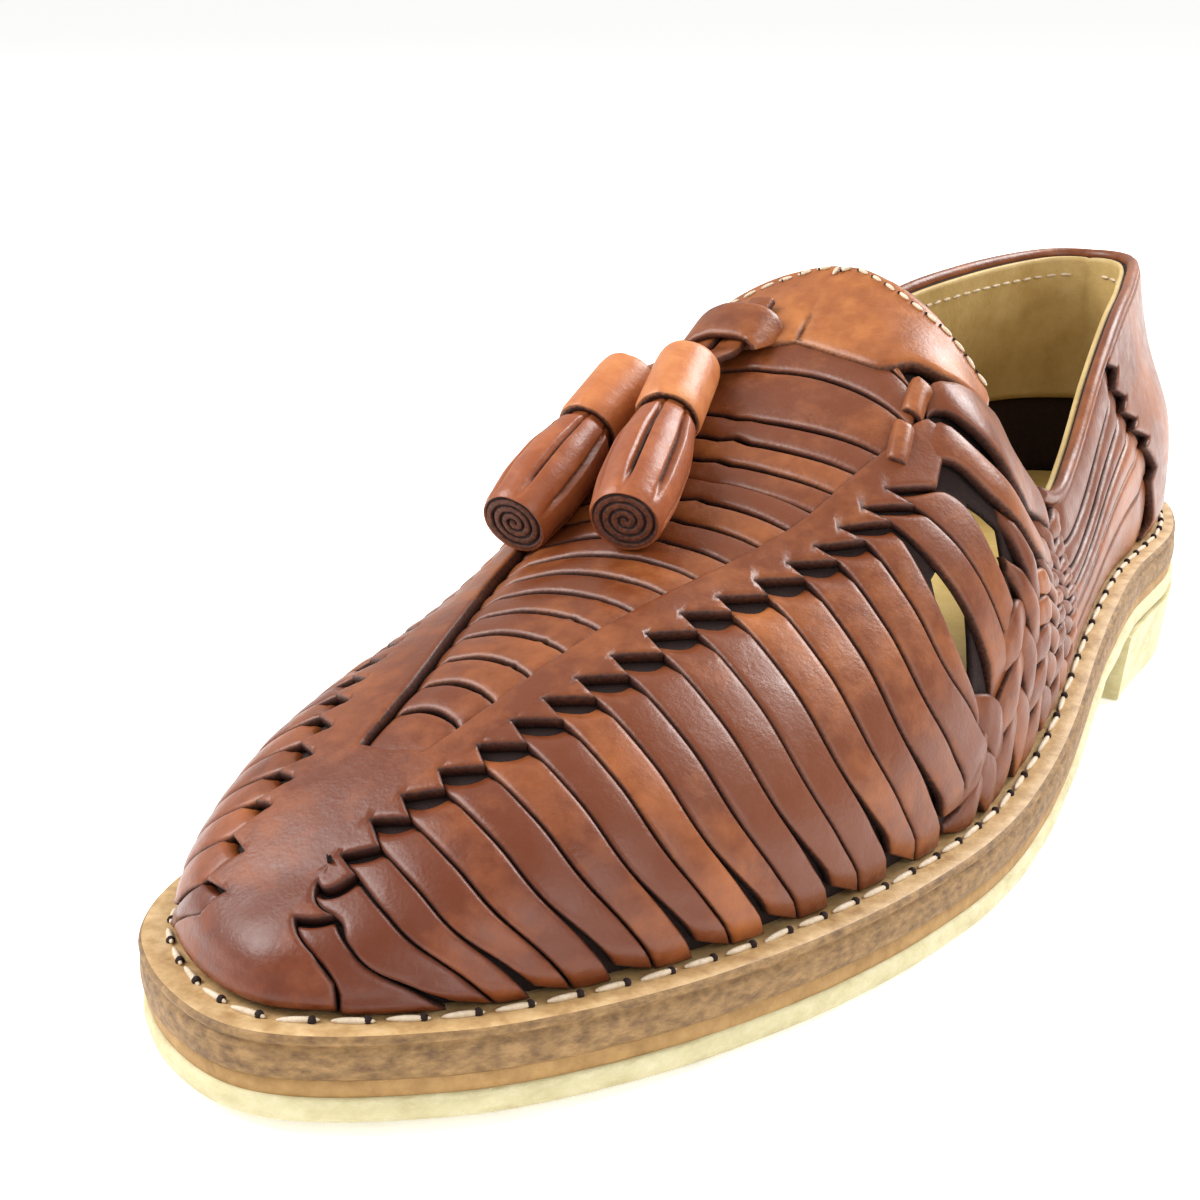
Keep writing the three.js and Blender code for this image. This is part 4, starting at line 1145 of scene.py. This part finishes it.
SLATS = 7
for which, (top, end) in TASSELS.items():
    start, along, long = axis_of("tassel_body_" + which, top, end)
    fine = np.linspace(0, 2 * math.pi, SLATS * 14, endpoint=False)

    def barrel(s):
        return float(ease(s, [(5, COLLAR_IN - 0.5), (COLLAR_LONG, COLLAR_IN - 0.2), (COLLAR_LONG + 3, 5.5),
                              (COLLAR_LONG + 11, 6.5), (long - 9, 6.6), (long - 1.2, 6.0), (long, 5.6)]))

    def groove(s, t):
        turn = (t * SLATS / (2 * math.pi) + (0.15 if which == "front" else 0.4)) % 1
        q = abs(turn - 0.5) * 2
        deep = max(0.0, 1 - (1 - q) / 0.2) if q > 0.8 else 0.0
        fade = float(ease(s, [(COLLAR_LONG, 0.3), (COLLAR_LONG + 4, 1), (long - 7, 1), (long - 3.5, 0.25),
                              (long, 0.0)]))
        return deep ** 0.5 * fade, q

    def radius(s, t):
        deep, q = groove(s, t)
        flat = 0.22 * (1 - q * q) * float(ease(s, [(COLLAR_LONG, 0), (COLLAR_LONG + 6, 1), (long - 5, 1),
                                                   (long, 0.2)]))
        return barrel(s) + flat - 1.9 * deep
    rings = [5, 12, COLLAR_LONG - 0.5, COLLAR_LONG + 0.4] + list(np.linspace(COLLAR_LONG + 1, long - 7.5,
                                                                             16)) + \
        [long - 7, long - 5, long - 3.5, long - 2.2, long - 1.2, long - 0.5, long - 0.15, long]
    grid = turned_grid(start, along, rings, radius, fine)
    # painted shade: the slits darken with their depth, on top of the dark cut edges of the fringe
    rims = [[1.3 * groove(s, t)[0] for t in fine] for s in rings]
    # the end: rings towards the middle, as a spiral groove; the end face is the roll's dark cut edge, with
    # painted shade deeper in the groove
    side = np.cross(along, [1.0, 0, 0])
    side /= np.linalg.norm(side)
    up = np.cross(along, side)
    inner = []
    for r in np.linspace(5.3, 0.35, 30):
        ring, rim_row = [], []
        for t in fine:
            turn = (r / 1.45 - t / (2 * math.pi)) % 1
            dip = max(0.0, 1 - abs(turn - 0.5) / 0.2)
            outwards = math.cos(t) * side + math.sin(t) * up
            ring.append(start + along * (long - 0.75 * dip - 0.1) + r * outwards)
            rim_row.append(0.95 + 0.6 * dip)
        inner.append(ring)
        rims.append(rim_row)
    grid = np.concatenate([grid, np.array(inner)])
    closed_tube("tassel_barrel_" + which, grid, tassel_leather, rims, ["tassel_body_" + which], tone=-0.1)
    # the collar: a short sleeve with rolled edges and an overlap line along it
    turns = np.linspace(0, 2 * math.pi, 56, endpoint=False)

    def sleeve(s, t):
        lap = 0.35 if (t % (2 * math.pi)) < 1.2 else 0.0
        roll = float(ease(s, [(0, -0.9), (0.8, -0.25), (2.2, 0), (COLLAR_LONG - 1, 0.1),
                              (COLLAR_LONG, -0.25)]))
        return COLLAR_OUT + roll + lap * 0.6
    outside = turned_grid(start, along, [0, 0.3, 0.8, 1.5, 3, 8, 13, 15.3, 16.1, COLLAR_LONG], sleeve, turns)
    inside = turned_grid(start, along, [COLLAR_LONG - 0.1, 12, 4, 1.2], lambda s, t: COLLAR_IN, turns)
    grid = np.concatenate([outside, inside])
    rims = [[0.7] * 56, [0.3] * 56] + [[0.0] * 56] * 6 + [[0.35] * 56, [0.9] * 56] + [[1.2] * 56] * 4
    closed_tube("tassel_sleeve_" + which, grid, tassel_leather, rims, ["tassel_collar_" + which], tone=0.7)
    print("tassel", which, "is", round(long, 1), "mm long")


# %% Straps from the throat to the tassels, and the keeper over them
probe_w, probe_c = np.meshgrid(np.linspace(0.55, 0.75, 120), np.linspace(-0.6, 0.6, 160))
probe, _ = on_last(probe_w.ravel(), probe_c.ravel())


def instep_point(x, back, above):
    """A point above the instep at x and back (mm, before the shift to the frame)."""
    y = LENGTH / 2 - back
    d = (probe[:, 0] - x - SHIFT_X) ** 2 + (probe[:, 1] - y) ** 2
    near = np.argsort(d)[:6]
    return np.array([x + SHIFT_X, y, float(np.average(probe[near, 2], weights=1 / (d[near] + 0.05))) + above])


def flat_band(name, knots, across, width, thick, replaces, steps=60):
    """A flat strap through knots, with rounded edges; across is the way its width lies."""
    line = np.stack([np.interp(np.linspace(0, 1, steps), np.linspace(0, 1, len(knots)),
                               np.array(knots)[:, k]) for k in range(3)], -1)
    for _ in range(6):
        line[1:-1] = (line[:-2] + line[1:-1] * 2 + line[2:]) / 4
    t = np.gradient(line, axis=0)
    t /= np.linalg.norm(t, axis=1, keepdims=True)
    across = np.array(across, float)
    face = np.cross(t, across)
    face /= np.linalg.norm(face, axis=1, keepdims=True)
    wide = np.cross(face, t)
    outline, rim = [], []
    for a, b, r in ((-1, -0.5, 1), (-1, 0.3, 0.9), (-0.93, 0.75, 0.4), (-0.75, 1, 0), (0, 1.15, 0),
                    (0.75, 1, 0), (0.93, 0.75, 0.4),
                    (1, 0.3, 0.9), (1, -0.5, 1), (0.9, -1, 1), (0, -1, 1), (-0.9, -1, 1)):
        outline.append((a * width / 2, b * thick / 2))
        rim.append(r)
    sign = 1 if np.mean(face[:, 2]) > 0 else -1
    grid = np.array([[line[i] + wide[i] * a + face[i] * b * sign for a, b in outline] for i in range(steps)])
    return closed_tube(name, grid, brown_leather, [rim] * steps, replaces)


STRAP_UP = 3.7
for which, x, tilt in (("front", -9.8, 0.16), ("rear", -15.4, 0.36)):
    start, along, long = axis_of("tassel_body_" + which, *TASSELS[which])
    knots = [instep_point(x, 147, STRAP_UP), instep_point(x, 151, STRAP_UP), instep_point(x, 156, STRAP_UP),
             instep_point(x * 1.03, 160, STRAP_UP + 0.3), start + along * 0.5, start + along * 4]
    flat_band("tassel_thong_" + which, knots, (1, 0, tilt), 5.0, 1.6, ["tassel_strap_" + which])
knots = [instep_point(-12.6 + f * 8.2, 155, h) for f, h in
         ((-1, 1.9), (-0.96, 3.0), (-0.85, 4.6), (-0.6, 5.7), (-0.2, 6.1), (0.2, 6.1), (0.6, 5.8),
          (0.85, 4.8), (0.96, 3.2), (1, 1.9))]
flat_band("keeper_band", knots, (0, 1, 0.57), 9.0, 1.6, ["keeper_loop"])

# %% [markdown]
# ## The sole
# Under the upper lie a thick midsole of raw tan leather, a thin slip sole and the crepe outsole. The cut
# edge of the midsole is sanded but stays open and fibrous, with a groove under its top lip. The crepe is
# torn to shape, so its lower edge is a little wavy.

# %% Sole layers swept round the outline
def sole_layer(name, profile, bottom, top, material, node, wobble, half=210):
    """One closed solid; profile rows are (inset in mm, height from 0 at the bottom to 1 at the top)."""
    rows = []
    noise = random.Random(31)
    waves = [(noise.uniform(20, 140), noise.uniform(0, 6.3), noise.uniform(0.3, 1)) for _ in range(10)]
    walks = [(1, u) for u in np.linspace(0, 1, half)] + [(-1, u) for u in np.linspace(1, 0, half)[1:-1]]
    for side, u in walks:
        x, b, out = edge(side, u)
        ring = []
        for inset, h in profile:
            shake = wobble * sum(a * math.sin(f * (u * side) + p) for f, p, a in waves) / 5
            px, pb = x - out[0] * (inset - shake), b - out[1] * (inset - shake)
            z = bottom(pb) * (1 - h) + top(pb) * h + (shake * 0.5 if h < 0.3 else 0)
            ring.append((px + SHIFT_X, LENGTH / 2 - pb + SHIFT_Y, max(z, 0.0)))
        rows.append(ring)
    grid = np.array(rows)
    n, m = grid.shape[:2]
    faces = [(i * m + j, ((i + 1) % n) * m + j, ((i + 1) % n) * m + j + 1, i * m + j + 1) for i in range(n)
             for j in range(m - 1)]
    # the flat faces are filled across from one side to the other
    for j in (0, m - 1):
        for a in range(half - 1):
            ring = list(dict.fromkeys((a * m + j, (a + 1) * m + j, ((n - a - 1) % n) * m + j,
                                       ((n - a) % n) * m + j)))
            if len(ring) >= 3:
                faces.append(tuple(ring))
    mesh = new_mesh(name, grid.reshape(-1, 3), faces, material)
    face_outwards(mesh)
    made = shown(name, mesh, [node])
    mesh.set_sharp_from_angle(angle=math.radians(50))
    return made


def slip_bottom(b):
    return crepe_bottom(b) + CREPE + LAYER_GAP


def midsole_bottom(b):
    return slip_bottom(b) + SLIP_SOLE + LAYER_GAP


MIDSOLE_EDGE = [(6.0, 0), (0.5, 0), (0.1, 0.06), (0.0, 0.2), (0.05, 0.45), (0.12, 0.66), (0.55, 0.72),
                (0.6, 0.76), (0.12, 0.82),
                (0.0, 0.88), (0.12, 0.95), (0.5, 1.0), (3.0, 1.0), (9.0, 1.0), (16, 1.0)]
midsole = sole_layer("midsole", MIDSOLE_EDGE, midsole_bottom, midsole_top, midsole_leather,
                     "leather_midsole", wobble=0.12)
midsole.data.materials.append(welt_leather)         # its upper face keeps the smooth, paler grain side
for face in midsole.data.polygons:
    if face.normal.z > 0.85:
        face.material_index = 1
sole_layer("slip_sole_layer", [(6, 0), (0.7, 0), (0.5, 0.3), (0.5, 0.75), (0.8, 1.0), (6, 1)], slip_bottom,
           midsole_bottom,
           slip_leather, "slip_sole", wobble=0.15)
sole_layer("crepe_layer", [(8, 0), (1.2, 0), (0.35, 0.16), (0.0, 0.5), (0.1, 0.9), (0.5, 1.0), (8, 1.0)],
           crepe_bottom, slip_bottom,
           crepe_rubber, "crepe_outsole", wobble=0.5)

# %% [markdown]
# ## Stitches
# The welt is sewn with thick waxed thread, about 7 mm to a stitch, through awl holes. The throat tab and
# the collar have a finer row. A stitch repeats along a line, so Geometry Nodes sets them: the line is cut
# at the stitch length and one rounded stitch is placed on each step, turned along the line.

# %% The stitch tree
def stitch_tree():
    tree = bpy.data.node_groups.new("stitches_along_a_line", "GeometryNodeTree")
    for name, kind, value in (("Line", "NodeSocketGeometry", None), ("Pitch", "NodeSocketFloat", 0.0075),
                              ("Long", "NodeSocketFloat", 0.0062), ("Thick", "NodeSocketFloat", 0.0011),
                              ("Hole", "NodeSocketFloat", 0.0012), ("Unevenness", "NodeSocketFloat", 0.06),
                              ("Thread", "NodeSocketMaterial", None), ("Shade", "NodeSocketMaterial", None)):
        socket = tree.interface.new_socket(name, in_out="INPUT", socket_type=kind)
        if value is not None:
            socket.default_value = value
    tree.interface.new_socket("Stitches", in_out="OUTPUT", socket_type="NodeSocketGeometry")
    inputs = add(tree, "NodeGroupInput").outputs
    wander = add(tree, "FunctionNodeRandomValue", {"data_type": "FLOAT_VECTOR"},
                 {"Min": (-1, -1, -1), "Max": (1, 1, 1), "Seed": 5})
    wander_by = add(tree, "ShaderNodeVectorMath", {"operation": "SCALE"}, {},
                    {0: wander.outputs[0], "Scale": inputs["Unevenness"]})

    def set_along(line, size, rings, material, turned):
        """One rounded grain for each pitch of the line, turned along it or not."""
        spaced = add(tree, "GeometryNodeCurveToPoints", {"mode": "LENGTH"}, {},
                     {"Curve": line, "Length": inputs["Pitch"]})
        ball = add(tree, "GeometryNodeMeshUVSphere", values={"Segments": 8, "Rings": rings, "Radius": 0.5})
        scale = add(tree, "ShaderNodeCombineXYZ", links={axis: inputs[key] for axis, key in zip("XYZ", size)})
        shaped = add(tree, "GeometryNodeTransform",
                     links={"Geometry": ball.outputs["Mesh"], "Scale": scale.outputs[0]})
        places = {"Points": spaced.outputs["Points"], "Instance": shaped.outputs[0]}
        if turned:
            places["Rotation"] = spaced.outputs["Rotation"]
        placed = add(tree, "GeometryNodeInstanceOnPoints", links=places)
        if turned:
            placed = add(tree, "GeometryNodeRotateInstances",
                         links={"Instances": placed.outputs[0], "Rotation": wander_by.outputs[0]})
        real = add(tree, "GeometryNodeRealizeInstances", links={"Geometry": placed.outputs[0]})
        return add(tree, "GeometryNodeSetMaterial",
                   links={"Geometry": real.outputs[0], "Material": inputs[material]}).outputs[0]
    thread = set_along(inputs["Line"], ("Thick", "Thick", "Long"), 7, "Thread", True)
    # awl holes lie between the stitches, half a pitch on; each is a small dark grain of painted shade
    half = add(tree, "ShaderNodeMath", {"operation": "MULTIPLY"}, {1: 0.5}, {0: inputs["Pitch"]})
    shorter = add(tree, "GeometryNodeTrimCurve", {"mode": "LENGTH"}, {}, {"Curve": inputs["Line"]})
    start, end = (next(s for s in shorter.inputs if s.name == name and s.type == "VALUE" and s.enabled)
                  for name in ("Start", "End"))
    tree.links.new(half.outputs[0], start)
    end.default_value = 10.0
    holes = set_along(shorter.outputs[0], ("Hole", "Hole", "Hole"), 5, "Shade", False)
    joined = add(tree, "GeometryNodeJoinGeometry")
    tree.links.new(thread, joined.inputs[0])
    tree.links.new(holes, joined.inputs[0])
    add(tree, "NodeGroupOutput", links={"Stitches": joined.outputs[0]})
    return tree


STITCHES = stitch_tree()


def sew(name, path, **sizes):
    """Bakes the stitch tree along a line of points in mm, and returns a plain mesh object."""
    curve = bpy.data.curves.new(name + "_line", "CURVE")
    curve.dimensions = "3D"
    line = curve.splines.new("POLY")
    line.points.add(len(path) - 1)
    line.points.foreach_set("co", np.hstack([np.array(path) * MM, np.ones((len(path), 1))]).ravel())
    guide = bpy.data.objects.new(name + "_line", curve)
    bpy.context.collection.objects.link(guide)
    modifier = guide.modifiers.new("stitches", "NODES")
    modifier.node_group = STITCHES
    ids = {item.name: item.identifier for item in STITCHES.interface.items_tree if item.in_out == "INPUT"}
    for key, value in sizes.items():
        modifier[ids[key]] = value
    modifier[ids["Thread"]] = waxed_thread
    modifier[ids["Shade"]] = flesh_side_painted_shade
    bpy.context.view_layer.update()
    graph = bpy.context.evaluated_depsgraph_get()
    mesh = bpy.data.meshes.new_from_object(guide.evaluated_get(graph), depsgraph=graph)
    mesh.name = name
    bpy.data.objects.remove(guide)
    return shown(name, mesh)


# %% Sew the welt, the tab and the collar
def welt_path(side, inset, first=0.06, count=260):
    out_points = []
    for u in np.linspace(first, 1, count):
        x, b, out = edge(side, u)
        m = float(welt_margin(b)) * inset
        px, pb = x - out[0] * m, b - out[1] * m
        out_points.append((px + SHIFT_X, LENGTH / 2 - pb + SHIFT_Y, float(midsole_top(pb)) + 0.25))
    return out_points


welt_line = welt_path(1, 0.68) + welt_path(-1, 0.68)[::-1][1:]
sew("welt_stitches", welt_line, Pitch=0.0072, Long=0.0060, Thick=0.00105, Hole=0.0014, Unevenness=0.07)
tab_grid = tab_places(count=60)
row = tab_grid[6:, 8] * 0.45 + tab_grid[6:, 9] * 0.55
tab_row = np.vstack([row, (row * [1, -1])[::-1][1:]])
points, outs = on_last(tab_row[:, 0], tab_row[:, 1])
FINE_ROW = {"Pitch": 0.0034, "Long": 0.0026, "Thick": 0.0007, "Hole": 0.0006, "Unevenness": 0.08}
sew("tab_stitches", points + outs * 2.05, **FINE_ROW)
walks = np.linspace(0.40, 0.04, 120)
for side, name in ((1, "lateral"), (-1, "medial")):
    points, outs = on_last(walks, np.full(120, side * 0.045))
    sew("collar_stitches_" + name, points - outs * 3.55, **FINE_ROW)
